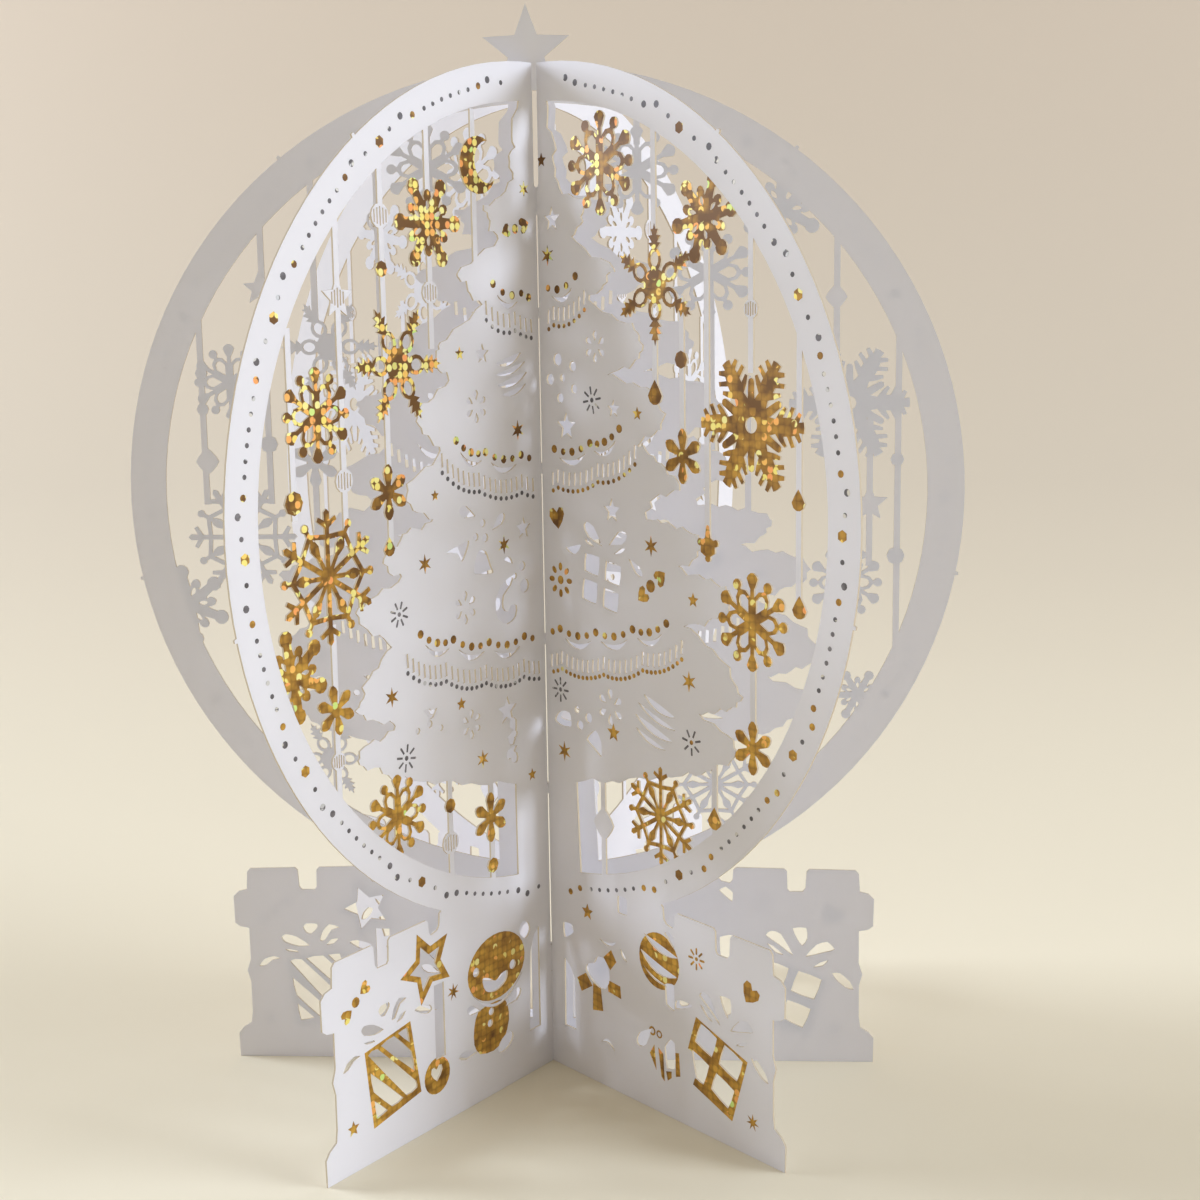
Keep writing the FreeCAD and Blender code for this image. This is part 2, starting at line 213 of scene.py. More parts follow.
def plump_flake(cx, cz, radius, op="+g", start=0.0):
    """Six stout arms with round ends, short points between, small oval holes."""
    rows = [(op, disc(cx, cz, radius * 0.5, 12))]
    for k in range(6):
        a = start + 60.0 * k
        tip = turn(cx, cz, radius * 0.85, a)
        rows.append((op, bar(cx, cz, *tip, radius * 0.3, radius * 0.2)))
        rows.append((op, disc(*tip, radius * 0.18, 10)))
        rows.append((op, petal(*turn(cx, cz, radius * 0.3, a + 30), radius * 0.4, radius * 0.24,
                               a + 30)))
        rows.append(("-", oval(*turn(cx, cz, radius * 0.36, a + 30), radius * 0.12,
                               radius * 0.055, a + 30, 8)))
    return rows


def fern_flake(cx, cz, radius, op="+g", start=0.0):
    """Six arms, each an eyelet with a narrow leafy tip."""
    leaf = [(0.5, 0.05), (0.6, 0.05), (0.7, 0.15), (0.71, 0.06), (0.82, 0.15), (0.83, 0.05),
            (0.93, 0.09), (0.93, 0.03), (1.03, 0.0)]
    rows = [(op, disc(cx, cz, radius * 0.28, 14))]
    for k in range(6):
        a = start + 60.0 * k
        rows += [(op, mirrored(cx, cz, radius, a, leaf)),
                 (op, oval(*turn(cx, cz, radius * 0.42, a), radius * 0.2, radius * 0.165, a, 12))]
    return rows + [("-", oval(*turn(cx, cz, radius * 0.43, start + 60.0 * k), radius * 0.13,
                              radius * 0.1, start + 60.0 * k, 10)) for k in range(6)]


def claw_flake(cx, cz, radius, op="+g", start=0.0):
    """Six hand-like arms, slim stubs between them, a round hole at the hub."""
    hand = [(0.25, 0.15), (0.46, 0.1), (0.54, 0.2), (0.63, 0.28), (0.67, 0.25), (0.6, 0.13),
            (0.68, 0.13), (0.76, 0.28), (0.82, 0.26), (0.76, 0.12), (0.82, 0.11), (0.9, 0.21),
            (0.95, 0.18), (0.9, 0.07), (0.99, 0.08), (1.0, 0.0)]
    rows = [(op, disc(cx, cz, radius * 0.38, 16))]
    for k in range(6):
        a = start + 60.0 * k
        rows += [(op, mirrored(cx, cz, radius, a, hand)),
                 (op, bar(cx, cz, *turn(cx, cz, radius * 0.6, a + 30), radius * 0.16, radius * 0.11))]
    return rows + [("-", disc(cx, cz, radius * 0.115, 16))]


def wheel_flake(cx, cz, radius, op="+g", start=90.0):
    """Six spokes with three-pronged tips, six shorter ones with a swelling, tied in a ring."""
    prongs = [(0.66, 0.03), (0.73, 0.05), (0.83, 0.2), (0.89, 0.17), (0.83, 0.05), (0.95, 0.055),
              (1.0, 0.0)]
    rows = [(op, disc(cx, cz, radius * 0.17, 12))]
    for k in range(6):
        a = start + 60.0 * k
        short = turn(cx, cz, radius * 0.86, a + 30)
        rows += [(op, bar(cx, cz, *turn(cx, cz, radius * 0.9, a), radius * 0.085)),
                 (op, mirrored(cx, cz, radius, a, prongs)), (op, bar(cx, cz, *short, radius * 0.07)),
                 (op, petal(*turn(cx, cz, radius * 0.28, a + 30), radius * 0.36, radius * 0.17, a + 30)),
                 (op, disc(*short, radius * 0.07, 8))]
        rows += [(op, bar(*turn(cx, cz, radius * 0.59, a), *turn(cx, cz, radius * 0.71, a + side * 30),
                          radius * 0.075)) for side in (-1, 1)]
    return rows


def flower(cx, cz, radius, op="+g", start=90.0):
    rows = [(op, disc(cx, cz, radius * 0.3, 8))]
    for k in range(6):
        a = start + 60.0 * k
        rows.append((op, petal(cx, cz, radius, radius * 0.46, a, 0.7)))
    return rows


def moon(cx, cz, radius, op="+g"):
    outer = [turn(cx, cz, radius, a) for a in range(-151, 122, 16)]
    inner = [turn(cx - 0.53 * radius, cz + 0.13 * radius, 0.74 * radius, a)
             for a in range(82, -105, -18)]
    return [(op, outer + inner)]


def marks(op, *shapes):
    """Rows of one kind, in the order given."""
    return [(op, pts) for pts in shapes]


def bead(cx, cz, radius, op="+g", count=8):
    return [(op, disc(cx, cz, radius, count, 90))]


def drop(cx, cz, radius, op="+g"):
    return [(op, petal(cx, cz + radius * 1.5, radius * 2.6, radius * 2.1, 270))]


def pendant(cx, cz, radius, op="+g"):
    rows = [(op, disc(cx, cz - radius * 0.15, radius * 0.78, 6, 90)),
            (op, bar(cx, cz, cx, cz + radius * 1.2, 1.6, 0.7))]
    rows += [(op, disc(*turn(cx, cz - 0.3, radius * 0.8, a), radius * 0.26, 8))
             for a in (20, 160, 270)]
    return rows


def slit_bead(cx, cz, radius, op="+"):
    """Bare card bead with upright slits."""
    rows = [(op, disc(cx, cz, radius, 12))]
    for k in (-2, -1, 0, 1, 2):
        h = radius * (0.75 - 0.12 * abs(k))
        x = cx + k * radius * 0.34
        rows.append(("-", rect(x - 0.13, cz - h, x + 0.13, cz + h)))
    return rows


def slit_star(cx, cz, radius, op="+"):
    rows = [(op, star(cx, cz, radius))]
    for k in (-2, -1, 0, 1, 2):
        x = cx + k * 0.62
        rows.append(("-", rect(x - 0.14, cz - 1.5 + 0.3 * abs(k), x + 0.14, cz + 1.5 - 0.3 * abs(k))))
    return rows


def plain_star(cx, cz, radius, op="+"):
    return [(op, star(cx, cz, radius))]


def diamond(cx, cz, radius, op="+"):
    return [(op, soft([(cx, cz + radius * 1.15), (cx - radius, cz), (cx, cz - radius * 1.15),
                       (cx + radius, cz)], 3, 0.28))]


# garlands: scallops between cusps, listed from the tree's edge to the spine

def scallops(cusps, sag, pitch, nearest=2.2):
    """Points along hanging arcs, evenly spaced, none nearer the spine than `nearest`."""
    pts = []
    for (x0, z0), (x1, z1) in zip(cusps[:-1], cusps[1:]):
        length = math.hypot(x1 - x0, z1 - z0)
        count = max(2, round(length / pitch))
        for k in range(count):
            t = k / count
            x = x0 + (x1 - x0) * t
            if x >= nearest:
                pts.append((x, z0 + (z1 - z0) * t - 4 * sag * t * (1 - t)))
    return pts


def garland(beads, lower, lower_foil, pitch):
    """Gold bead row, crescent cuts, a fringe of slits and a dotted hem."""
    rows = []
    for k, (x, z) in enumerate(scallops(beads, 1.0, 2.25)):
        rows.append(("g", disc(x, z, 0.74 if k % 2 == 0 else 0.62, 10)))
    for (x0, z0), (x1, z1) in zip(beads[:-1], beads[1:]):
        a, b = ((x0 + (x1 - x0) * t, z0 + (z1 - z0) * t) for t in (0.14, 0.86))
        if b[0] > 1.0:
            rows.append(("-", bend(b[0], b[1] - 1.7, a[0], a[1] - 1.7, 1.25, 0.95)))
    for x, z in scallops(lower, 1.1, 1.5, 2.0):
        rows.append(("-", [(x - 0.32, z + 0.9), (x + 0.28, z + 0.9),
                           (x + 0.38, z + 3.2), (x - 0.18, z + 3.3)]))
    for x, z in scallops(lower, 1.1, pitch, 2.2):
        rows.append((lower_foil, disc(x, z, 0.42, 8)))
    return rows


# half-tree outlines, between the stem's foot and the tip at the spine
STEM_FOOT, STEM_TOP = (9.3, 34), (9.2, 50)
TIP, BEYOND_TIP = (0, 176), (3, 180)
TREE_A = [(9.4, 56), (17, 57.6), (24, 59.5), (31, 61.2), (37, 63.1), (41.5, 64.4), (44.5, 66.5),
          (48.2, 67.8), (49.3, 69.6), (46.5, 71.4), (43, 71.6), (40.2, 72.9), (43, 74.2),
          (47, 75.4), (49.1, 77.3), (47.6, 79), (46.9, 81.4), (44, 83.6), (40.9, 86.2),
          (43.5, 88.6), (47, 90.4), (48.2, 92.9), (45.8, 94.6), (42, 95.6), (37.5, 97.4),
          (40.6, 98.6), (41.7, 100.9), (38.6, 102.8), (36, 104.6), (32.5, 105), (29.5, 106),
          (33.2, 107.4), (35.6, 109.8), (35.4, 112.2), (31, 114.6), (27, 117.1), (29.6, 119),
          (31.7, 121.2), (33, 123), (32.2, 124.6), (28.6, 126.2), (24.5, 128.6), (26, 130.2),
          (28.4, 131.6), (27, 133.4), (26.4, 135), (21, 137.6), (15.8, 141.2), (18.6, 142.6),
          (19.6, 144.8), (21.9, 146.3), (16.2, 149), (10.8, 152), (12.8, 153.6), (13.2, 155.6),
          (14.2, 157.3), (9.8, 159.2), (6.6, 162.2), (7.4, 165), (6.2, 167.6), (6.4, 170.4),
          (4.4, 176)]
TREE_B = [(8.4, 55.8), (15, 57.2), (20, 58.3), (28, 60.4), (36, 62.4), (40.6, 63.6), (44, 65.4),
          (47.8, 67.2), (48.8, 69.8), (45.4, 71.8), (40.3, 73.9), (43.6, 74.4), (46.4, 75.6),
          (48.8, 76.4), (49.9, 78.1), (48.4, 80.4), (46.2, 83.2), (42, 85.8), (37, 88.2),
          (40.4, 88.8), (43.5, 90), (46.4, 91.2), (47.9, 93.4), (46.2, 95.4), (43, 96.6),
          (39, 96.8), (35.6, 98), (39, 99), (40.2, 100.8), (41, 102.9), (37.4, 104),
          (34, 104.8), (30.4, 105), (27.3, 105.9), (29, 107.4), (30, 109.3), (33.8, 109.8),
          (36, 111.4), (33.4, 113.4), (30.5, 115), (28, 116.8), (25.8, 117.4), (28.8, 119.2),
          (31.4, 120.4), (32.2, 122.8), (30.2, 125), (28, 127), (23, 128), (18.6, 129),
          (22.6, 130.2), (25.6, 131.4), (27, 133.2), (26.4, 135.6), (24.5, 137.2), (19.4, 139),
          (13.5, 141.4), (17, 143.2), (18.6, 145.4), (20.5, 146.7), (14.6, 149.2), (9.5, 152.3),
          (12, 154), (12.2, 156.2), (13.4, 158), (8.6, 159.2), (5.8, 161.5), (5, 165), (5.4, 168),
          (3.8, 171), (3.2, 176)]
FOOT = [(0, 0), (60, 0), (60.1, 4.6), (59.2, 5.8), (57.6, 6.8), (57.3, 9), (57.3, 15),
        (57.9, 17.2), (57.2, 19.4), (57.2, 25.6), (58.9, 25.9), (59.8, 26.6), (59.9, 31.8),
        (58.9, 32.8), (57.3, 33.2), (57.1, 36.6), (56.5, 37.3), (48.0, 37.5), (47.5, 37.0),
        (47.3, 33.8), (46.8, 33.2), (44.4, 33.2), (44.0, 33.7), (43.9, 37.1), (43.4, 37.6),
        (34.6, 37.8), (34.0, 37.3), (33.9, 35.4), (33.4, 34.8), (31.8, 35.2), (31.2, 35.9),
        (31.0, 38.0), (30.4, 38.5), (27, 38.6), (20, 38.2), (0, 36)]

# cut-outs and foil of the foot, one set for each kind of leaf
GIFT_A = [(50.5, 19.7), (39.3, 21.4), (37.1, 7.9), (48.9, 5.8)]
GIFT_A_CUTS = [[(49.7, 19.0), (47.4, 19.4), (38.3, 10.3), (38.1, 9.0), (40.8, 8.6)],
               [(46.6, 19.6), (43.3, 20.2), (39.2, 16.0), (38.6, 12.2)],
               [(42.4, 20.3), (40.1, 20.6), (39.5, 17.6)],
               [(49.3, 15.8), (48.7, 12.2), (44.4, 8.0), (41.6, 8.5)],
               [(48.6, 10.6), (48.1, 7.3), (45.5, 7.8)]]
BOW_A = [[(51.1, 23.8), (50.3, 24.4), (48.2, 23.9), (45.8, 22.2), (48.0, 22.0), (50.5, 22.8)],
         [(50.6, 21.5), (48.3, 21.2), (48.0, 20.8), (49.8, 21.0)],
         [(46.9, 25.7), (46.3, 26.5), (44.3, 26.5), (44.2, 25.7), (45.4, 24.5), (46.3, 24.7)],
         [(43.8, 23.2), (43.2, 25.0), (41.9, 26.4), (40.0, 25.8), (41.6, 25.2), (42.9, 23.2)],
         [(42.6, 22.3), (41.2, 22.6), (40.3, 23.6), (41.6, 23.4)],
         [(55.6, 18.0), (54.6, 19.4), (52.8, 20.0), (51.5, 19.6), (53.1, 19.2), (54.3, 18.2)],
         [(38.2, 22.9), (36.8, 23.3), (34.2, 22.6), (33.7, 21.6), (34.7, 21.2), (36.5, 21.8)]]
GIFT_B = [(39.2, 20.6), (37.2, 14.3), (42.2, 12.8), (40.6, 9.2), (38.9, 9.4), (38.4, 8.1),
          (47.9, 4.7), (51.5, 16.4)]
GIFT_B_CUTS = [[(40.4, 19.8), (44.3, 18.3), (43.0, 14.5), (38.9, 16.1)],
               [(46.1, 17.8), (50.4, 16.1), (49.0, 12.2), (44.7, 13.9)],
               [(38.1, 14.4), (42.4, 12.8), (41.0, 8.9), (39.2, 9.4)],
               [(44.1, 12.1), (48.4, 10.3), (46.9, 6.6), (42.8, 8.8)]]
BOW_B = [[(40.0, 24.7), (41.0, 25.6), (42.8, 25.0), (45.1, 20.8), (42.6, 22.8)],
         [(40.2, 23.2), (41.4, 22.6), (43.3, 20.9), (41.8, 21.4)],
         [(45.0, 26.1), (47.5, 26.2), (47.7, 24.0), (46.8, 22.7), (45.9, 23.9)],
         [(47.4, 20.6), (49.4, 22.9), (51.4, 23.5), (52.8, 22.0), (50.8, 21.4)],
         [(48.8, 18.5), (50.0, 19.4), (51.6, 19.9), (50.6, 18.8)],
         [(52.3, 17.4), (53.8, 17.4), (55.6, 15.8), (56.3, 14.2), (54.8, 14.6), (53.2, 16.0)],
         [(34.0, 20.5), (34.2, 22.0), (36.0, 22.5), (38.3, 22.3), (36.5, 21.2)]]


def gift(outline, cuts, leaves):
    """Wrapped gift: striped or four-paned, with a bow of petals above."""
    rows = [("g", outline)]
    rows += [("-", soft(c, 2, 0.12)) for c in cuts]
    rows += [("-", soft(c, 2, 0.3)) for c in leaves]
    return rows


def foot_a():
    rows = gift(GIFT_A, GIFT_A_CUTS, BOW_A)
    rows.append(("g", star(34.6, 29.7, 6.8, 5, 0.5, 69.5)))
    rows += marks("g", heart(49.9, 30.8, 1.25, 60), disc(52.1, 29.1, 0.9, 10),
                  heart(54.2, 27.4, 1.3, 240))
    rows += marks("g", star(53.7, 7.7, 1.4, 5), star(28.1, 22.9, 1.6, 7, 0.35),
                  disc(32.9, 9.2, 3.3, 22))
    rows.append(("-", star(34.7, 29.6, 4.3, 5, 0.5, 69.5)))
    rows.append(("-", rect(30.5, 12.1, 33.1, 25.6)))
    rows.append(("-", heart(33.0, 9.7, 1.55)))
    rows += [("g", oval(16.2, 23.8, 8.0, 6.1, 0, 30)),
             ("-", bend(9.0, 20.4, 23.6, 21.2, 4.2, 0.6, 12)), ("g", soft(
                 [(21.6, 16.9), (22.8, 14.4), (22.9, 11.2), (21.4, 8.9), (17.6, 8.2), (14.6, 9.4),
                  (13.1, 12.6), (13.4, 15.4), (14.6, 17.0), (18.0, 17.3)], 2, 0.4))]
    rows += marks("-", disc(21.9, 24.4, 0.85, 12), disc(11.7, 22.7, 0.9, 12),
                  disc(18.0, 15.8, 0.72, 10), disc(18.4, 13.7, 0.72, 10), soft([(20.2, 22.6),
                  (18.4, 22.2), (16.6, 21.2), (14.9, 22.0), (13.2, 22.0), (13.7, 20.2), (16.5, 19.2),
                  (19.4, 20.1)]))
    rows += marks("-", petal(13.9, 15.4, 4.9, 2.3, 158), petal(20.9, 16.9, 4.0, 1.7, 20),
                  oval(14.1, 8.6, 2.4, 1.4, 155), petal(22.0, 9.6, 5.2, 1.7, 8))
    rows += [("-", [(7.0, 8.2), (3.8, 8.2), (3.8, 27.6), (5.3, 26.4), (6.4, 23.5)]),
             ("-", soft([(9.7, 28.3), (8.6, 29.8), (6.9, 29.2), (6.4, 27.6), (7.8, 26.4)]))]
    return rows


def foot_b():
    rows = gift(GIFT_B, GIFT_B_CUTS, BOW_B)
    rows += marks("g", heart(52.1, 28.6, 2.0, -30), star(52.7, 6.2, 1.5, 7, 0.35),
                  star(10.9, 32.0, 1.6, 5))
    rows += burst(39.4, 31.0, 1.8, "g", 8, "g")
    rows += marks("g", [(15.2, 24.6), (17.3, 26.5), (18.7, 24.6), (17.0, 22.6)], [(16.2, 20.6),
                  (19.7, 20.3), (19.9, 18.0), (16.4, 18.4)], [(12.2, 18.8), (14.3, 18.6), (14.9, 14.2),
                  (12.0, 13.6)], [(7.7, 18.6), (10.2, 20.2), (12.0, 18.2), (8.9, 16.3)])
    rows.append(("g", disc(30.0, 28.0, 5.1, 30)))
    rows += marks("g", [(27.4, 10.3), (28.6, 12.2), (29.1, 7.6)], [(29.6, 12.0), (30.9, 11.2),
                  (31.2, 6.2), (30.4, 6.8)], [(31.6, 8.2), (33.0, 8.6), (33.0, 7.4), (32.0, 6.6)],
                  [(34.0, 12.4), (34.9, 12.6), (35.2, 8.4), (34.1, 8.0)])
    rows += [("g", disc(28.1, 14.6, 0.85, 10)), ("g", disc(29.9, 14.5, 0.75, 10)),
             ("n", disc(28.1, 14.6, 0.5, 8)), ("n", disc(29.9, 14.5, 0.45, 8))]
    rows += marks("-", soft([(10.2, 20.6), (10.6, 22.0), (12.4, 22.7), (13.4, 24.2), (15.4, 24.2),
                  (16.6, 22.4), (16.6, 20.0), (15.0, 18.4), (12.6, 18.8)]),
                  soft(rect(19.3, 34.1, 21.7, 37.2), 3, 0.16), bend(34.7, 29.8, 26.3, 32.0, -0.6, 1.5),
                  bend(34.4, 26.2, 25.3, 28.9, -1.0, 1.9), bend(32.6, 24.0, 25.9, 26.2, -0.7, 0.5),
                  soft([(31.7, 20.6), (33.8, 20.0), (33.8, 24.7), (31.5, 24.3)], 3, 0.15),
                  soft([(31.4, 33.4), (32.6, 34.1), (33.9, 33.0), (33.8, 31.2)], 3, 0.15),
                  petal(27.9, 14.9, 5.6, 2.5, 227), soft([(31.8, 8.8), (31.2, 12.6), (32.6, 14.4),
                  (33.9, 14.0), (33.9, 9.4)], 2, 0.2), bend(18.6, 28.2, 14.2, 27.8, -0.7, 0.6),
                  bend(21.6, 25.4, 19.9, 27.4, -0.2, 0.7), bend(18.0, 7.4, 14.2, 8.2, 1.0, 0.7))
    rows += [("-", [(3.9, 8.2), (7.1, 8.2), (6.9, 18.2), (5.7, 20.2), (4.1, 21.4)]),
             ("-", soft([(3.9, 28.2), (6.4, 28.4), (6.8, 27.0), (4.2, 25.4)], 3, 0.3))]
    return rows


def foot_b_plain():
    """The same foot without the bauble's stripes."""
    return [row for row in foot_b()
            if not all(24.8 < x < 35.2 and 22.8 < z < 33.2 for x, z in row[1])]


# ornaments cut into or printed on the trees

def bauble_slits(cx, cz, radius, tilt):
    rows = []
    for k, share in enumerate((-0.62, -0.22, 0.2, 0.58)):
        half = radius * math.sqrt(1 - share * share) * 0.92
        p = turn(cx, cz, radius * share, tilt + 90)
        rows.append(("-", bend(*turn(*p, half, tilt), *turn(*p, half, tilt + 180),
                               -0.5, 1.5 if k % 2 else 1.1)))
    return rows


def tree_a():
    rows = []
    rows += marks("g", star(3.7, 160.6, 1.4, 6, 0.4), heart(8.8, 153.4, 1.2, 70),
                  disc(6.3, 153.8, 0.85, 10), heart(3.9, 154.5, 1.4, 250), star(21.8, 133.0, 1.2),
                  star(6.8, 119.3, 1.8, 6, 0.38), star(29.0, 109.9, 1.0),
                  star(32.0, 98.8, 1.7, 6, 0.36), star(11.3, 99.6, 1.7, 6, 0.36),
                  star(41.0, 77.9, 1.7, 6, 0.36), star(23.8, 73.5, 1.2),
                  star(18.5, 62.6, 1.7, 6, 0.36), star(4.8, 56.7, 1.2))
    rows += burst(38.6, 91.3, 2.0, "s", 8, "s", 20) + burst(38.0, 67.0, 2.2, "s", 8, "s", 10)
    rows += garland([(12.6, 144.5), (5.0, 142.9), (-3, 142.9)],
                    [(14.6, 138.4), (6.9, 136.5), (-2, 136)], "s", 1.5)
    rows += garland([(23.3, 118.6), (15.7, 116.1), (6.0, 114.9), (-3, 115)],
                    [(27.0, 113.5), (17.6, 109.5), (6.0, 108.2), (-5, 108)], "s", 1.5)
    rows += garland([(33.6, 87.2), (25.4, 85.0), (16.0, 83.0), (6.2, 82.5), (-3, 82.6)],
                    [(37.0, 81.2), (27.5, 78.1), (17.0, 75.9), (6.5, 75.1), (-3.5, 75.1)],
                    "s", 1.35)
    rows += marks("-", star(15.9, 132.8, 1.8), star(5.8, 101.9, 2.1), star(11.4, 69.9, 2.7))
    rows += bauble_slits(8.2, 129.2, 4.6, -14)
    rows += petals(17.8, 124.0, 2.8) + petals(22.0, 90.0, 2.9) + petals(21.2, 69.4, 2.6)
    rows += marks("-", disc(16.9, 104.0, 0.75, 8), disc(18.8, 101.8, 0.7, 8),
                  disc(16.3, 101.4, 0.8, 8), petal(18.8, 105.4, 4.4, 2.1, 20),
                  petal(14.4, 102.5, 4.3, 1.9, 145))
    rows += [("-", soft([(26.6, 100.0), (23.6, 100.8), (20.6, 101.4), (21.4, 99.4), (22.6, 98.0),
                         (23.8, 99.6)], 3, 0.4)),
             ("-", soft([(18.4, 99.2), (16.2, 99.0), (15.0, 96.4), (14.4, 95.0), (17.4, 95.2),
                         (19.6, 95.8)], 3, 0.4))]
    rows += marks("-", disc(6.3, 95.2, 0.85, 10), disc(8.5, 93.7, 0.6, 8), disc(5.8, 91.6, 1.25, 12),
                  bend(9.0, 96.0, 11.6, 97.0, -0.4, 0.9))
    rows += [("-", soft([(9.0, 93.9), (12.2, 92.6), (14.0, 89.8), (13.4, 86.8), (10.8, 85.4),
                         (8.4, 86.4), (8.1, 88.4), (9.8, 88.6), (10.6, 87.6), (11.8, 88.4),
                         (11.6, 90.6), (9.6, 92.2)], 2, 0.45))]
    rows += marks("-", disc(10.3, 64.3, 1.05, 6), petal(11.8, 64.8, 3.2, 1.6, 170),
                  petal(9.0, 65.6, 3.0, 2.2, 62), petal(9.0, 63.0, 3.4, 2.0, 330),
                  petal(10.9, 62.8, 3.4, 2.0, 236))
    rows += marks("-", petal(30.0, 74.0, 2.6, 1.4, 330), petal(33.6, 74.2, 2.4, 1.2, 200),
                  disc(32.0, 71.6, 0.7, 8), disc(29.2, 70.4, 0.6, 8), disc(35.0, 71.0, 0.6, 8))
    return rows


def tree_b():
    rows = []
    rows += marks("g", star(1.8, 165.5, 1.3), star(3.0, 149.3, 1.8, 6, 0.36), star(25.9, 122.7, 1.2),
                  heart(4.3, 103.6, 2.1, 10), star(29.0, 100.7, 1.8, 6, 0.36), star(39.1, 92.7, 1.3),
                  heart(31.2, 95.6, 1.5, 130), disc(28.8, 93.9, 1.1, 12), heart(26.8, 92.1, 1.5, -50),
                  star(38.0, 78.9, 1.8, 6, 0.36), star(18.8, 66.8, 1.7), star(5.2, 61.0, 1.9, 6, 0.36),
                  disc(5.0, 92.4, 0.8, 10))
    rows += [("g", oval(*turn(5.0, 92.4, 2.4, 45.0 * k), 0.75, 0.5, 45.0 * k, 10))
             for k in range(8)]
    rows += burst(14.3, 124.6, 2.2, "s", 8, "s", 10) + burst(4.4, 72.3, 2.1)
    rows += burst(38.5, 68.6, 2.1, "s", 7, "g", 15)
    rows += garland([(10.4, 145.6), (3.0, 143.7), (-5, 143.6)],
                    [(12.7, 139.9), (4.4, 137.3), (-4, 137)], "g", 1.45)
    rows += garland([(21.3, 120.0), (13.6, 117.2), (3.9, 115.7), (-5, 115.6)],
                    [(25.2, 114.2), (15.6, 110.6), (4.8, 108.9), (-5, 108.5)], "g", 1.45)
    rows += garland([(32.6, 88.0), (24.1, 85.9), (14.4, 84.1), (4.6, 83.5), (-4, 83.3)],
                    [(36.3, 82.4), (26.6, 79.1), (16.4, 76.8), (5.0, 76.2), (-5, 76)], "g", 1.2)
    rows += marks("-", star(4.3, 155.4, 2.2), star(19.9, 123.3, 1.6), star(7.3, 119.8, 2.6),
                  star(19.1, 105.9, 2.2))
    rows += petals(15.3, 133.7, 2.7) + petals(18.0, 71.3, 3.3, "-", 6, 1.3)
    rows += [("-", disc(x, z, r, 8)) for x, z, r in (
        (5.2, 131.4, 1.15), (9.3, 130.3, 0.95), (3.1, 127.9, 1.05), (6.5, 128.2, 0.7),
        (9.6, 126.4, 0.85), (5.8, 124.7, 0.9), (12.1, 68.3, 0.95), (9.7, 66.6, 0.9),
        (8.9, 69.3, 0.7))]
    rows += [("-", soft([(2.6, 66.4), (4.0, 68.2), (6.8, 68.4), (7.2, 66.0), (4.6, 65.6)], 3, 0.4)),
             ("-", soft([(11.4, 64.4), (13.8, 66.4), (15.4, 64.6), (15.4, 61.8), (13.4, 63.0)], 3, 0.35))]
    rows += bauble_slits(29.6, 70.6, 5.4, -20)
    rows += [("-", soft(c, 2, 0.14)) for c in (
        [(11.9, 97.9), (15.7, 97.5), (15.2, 94.1), (11.6, 94.8)],
        [(17.4, 97.1), (21.3, 96.4), (20.8, 93.0), (17.0, 93.7)],
        [(11.3, 93.3), (15.0, 92.8), (14.6, 89.1), (10.9, 89.8)],
        [(16.8, 92.3), (20.6, 91.6), (20.1, 88.2), (16.4, 88.9)])]
    rows += marks("-", petal(16.4, 99.5, 6.0, 2.5, 142), petal(18.2, 99.9, 5.2, 2.3, 26),
                  bend(10.7, 99.2, 6.6, 98.3, -0.6, 1.5), petal(23.3, 98.0, 4.4, 1.6, 322),
                  petal(14.3, 99.2, 2.6, 0.7, 155), petal(19.4, 98.4, 3.2, 0.7, 22))
    return rows


# the four drawings: strings (x, low, high) and what hangs on them

KIND_A = {"tree": TREE_A, "foot": foot_a, "print": tree_a, "dots": (33.6, 29.2, 0, 115, 200)}
KIND_B = {"tree": TREE_B, "foot": foot_b, "print": tree_b, "dots": (30.8, 29.9, 65, 200, 110)}
LEAF_A = {
    **KIND_A,
    "strings": [(17, 148, 173), (28.6, 134, 170), (39.8, 101, 164), (50, 104, 158),
                (60.9, 109, 138), (53.7, 62, 92), (27.4, 43, 62), (16.4, 39, 58)],
    "hang": [(moon, 15.7, 164.0, 4.75), (plump_flake, 28.7, 154.2, 7.7), (fern_flake, 36.8, 131.6, 10),
             (knob_flake, 55.5, 124.7, 7.4, 30), (wheel_flake, 54.3, 99.5, 10.8),
             (plump_flake, 62.8, 85, 7.4, 20), (knob_flake, 40.5, 57.6, 7.2),
             (flower, 40.1, 111.5, 4.6), (flower, 53.8, 78.2, 4.2, 80), (flower, 16.7, 51.6, 4.6),
             (bead, 61, 111.7, 1.9), (bead, 40, 146.8, 1.3), (drop, 40.3, 102.4, 1.2),
             (bead, 27.4, 56.3, 1.3), (bead, 16.4, 42.7, 1.4)],
    "bare": [(slit_star, 50, 142.4, 3.4), (slit_bead, 39.9, 155, 2), (slit_bead, 28.6, 143.1, 1.9),
             (slit_bead, 50, 114.2, 1.9), (slit_bead, 27.5, 49.7, 2.0), (slit_bead, 53.6, 69.9, 1.5)],
}
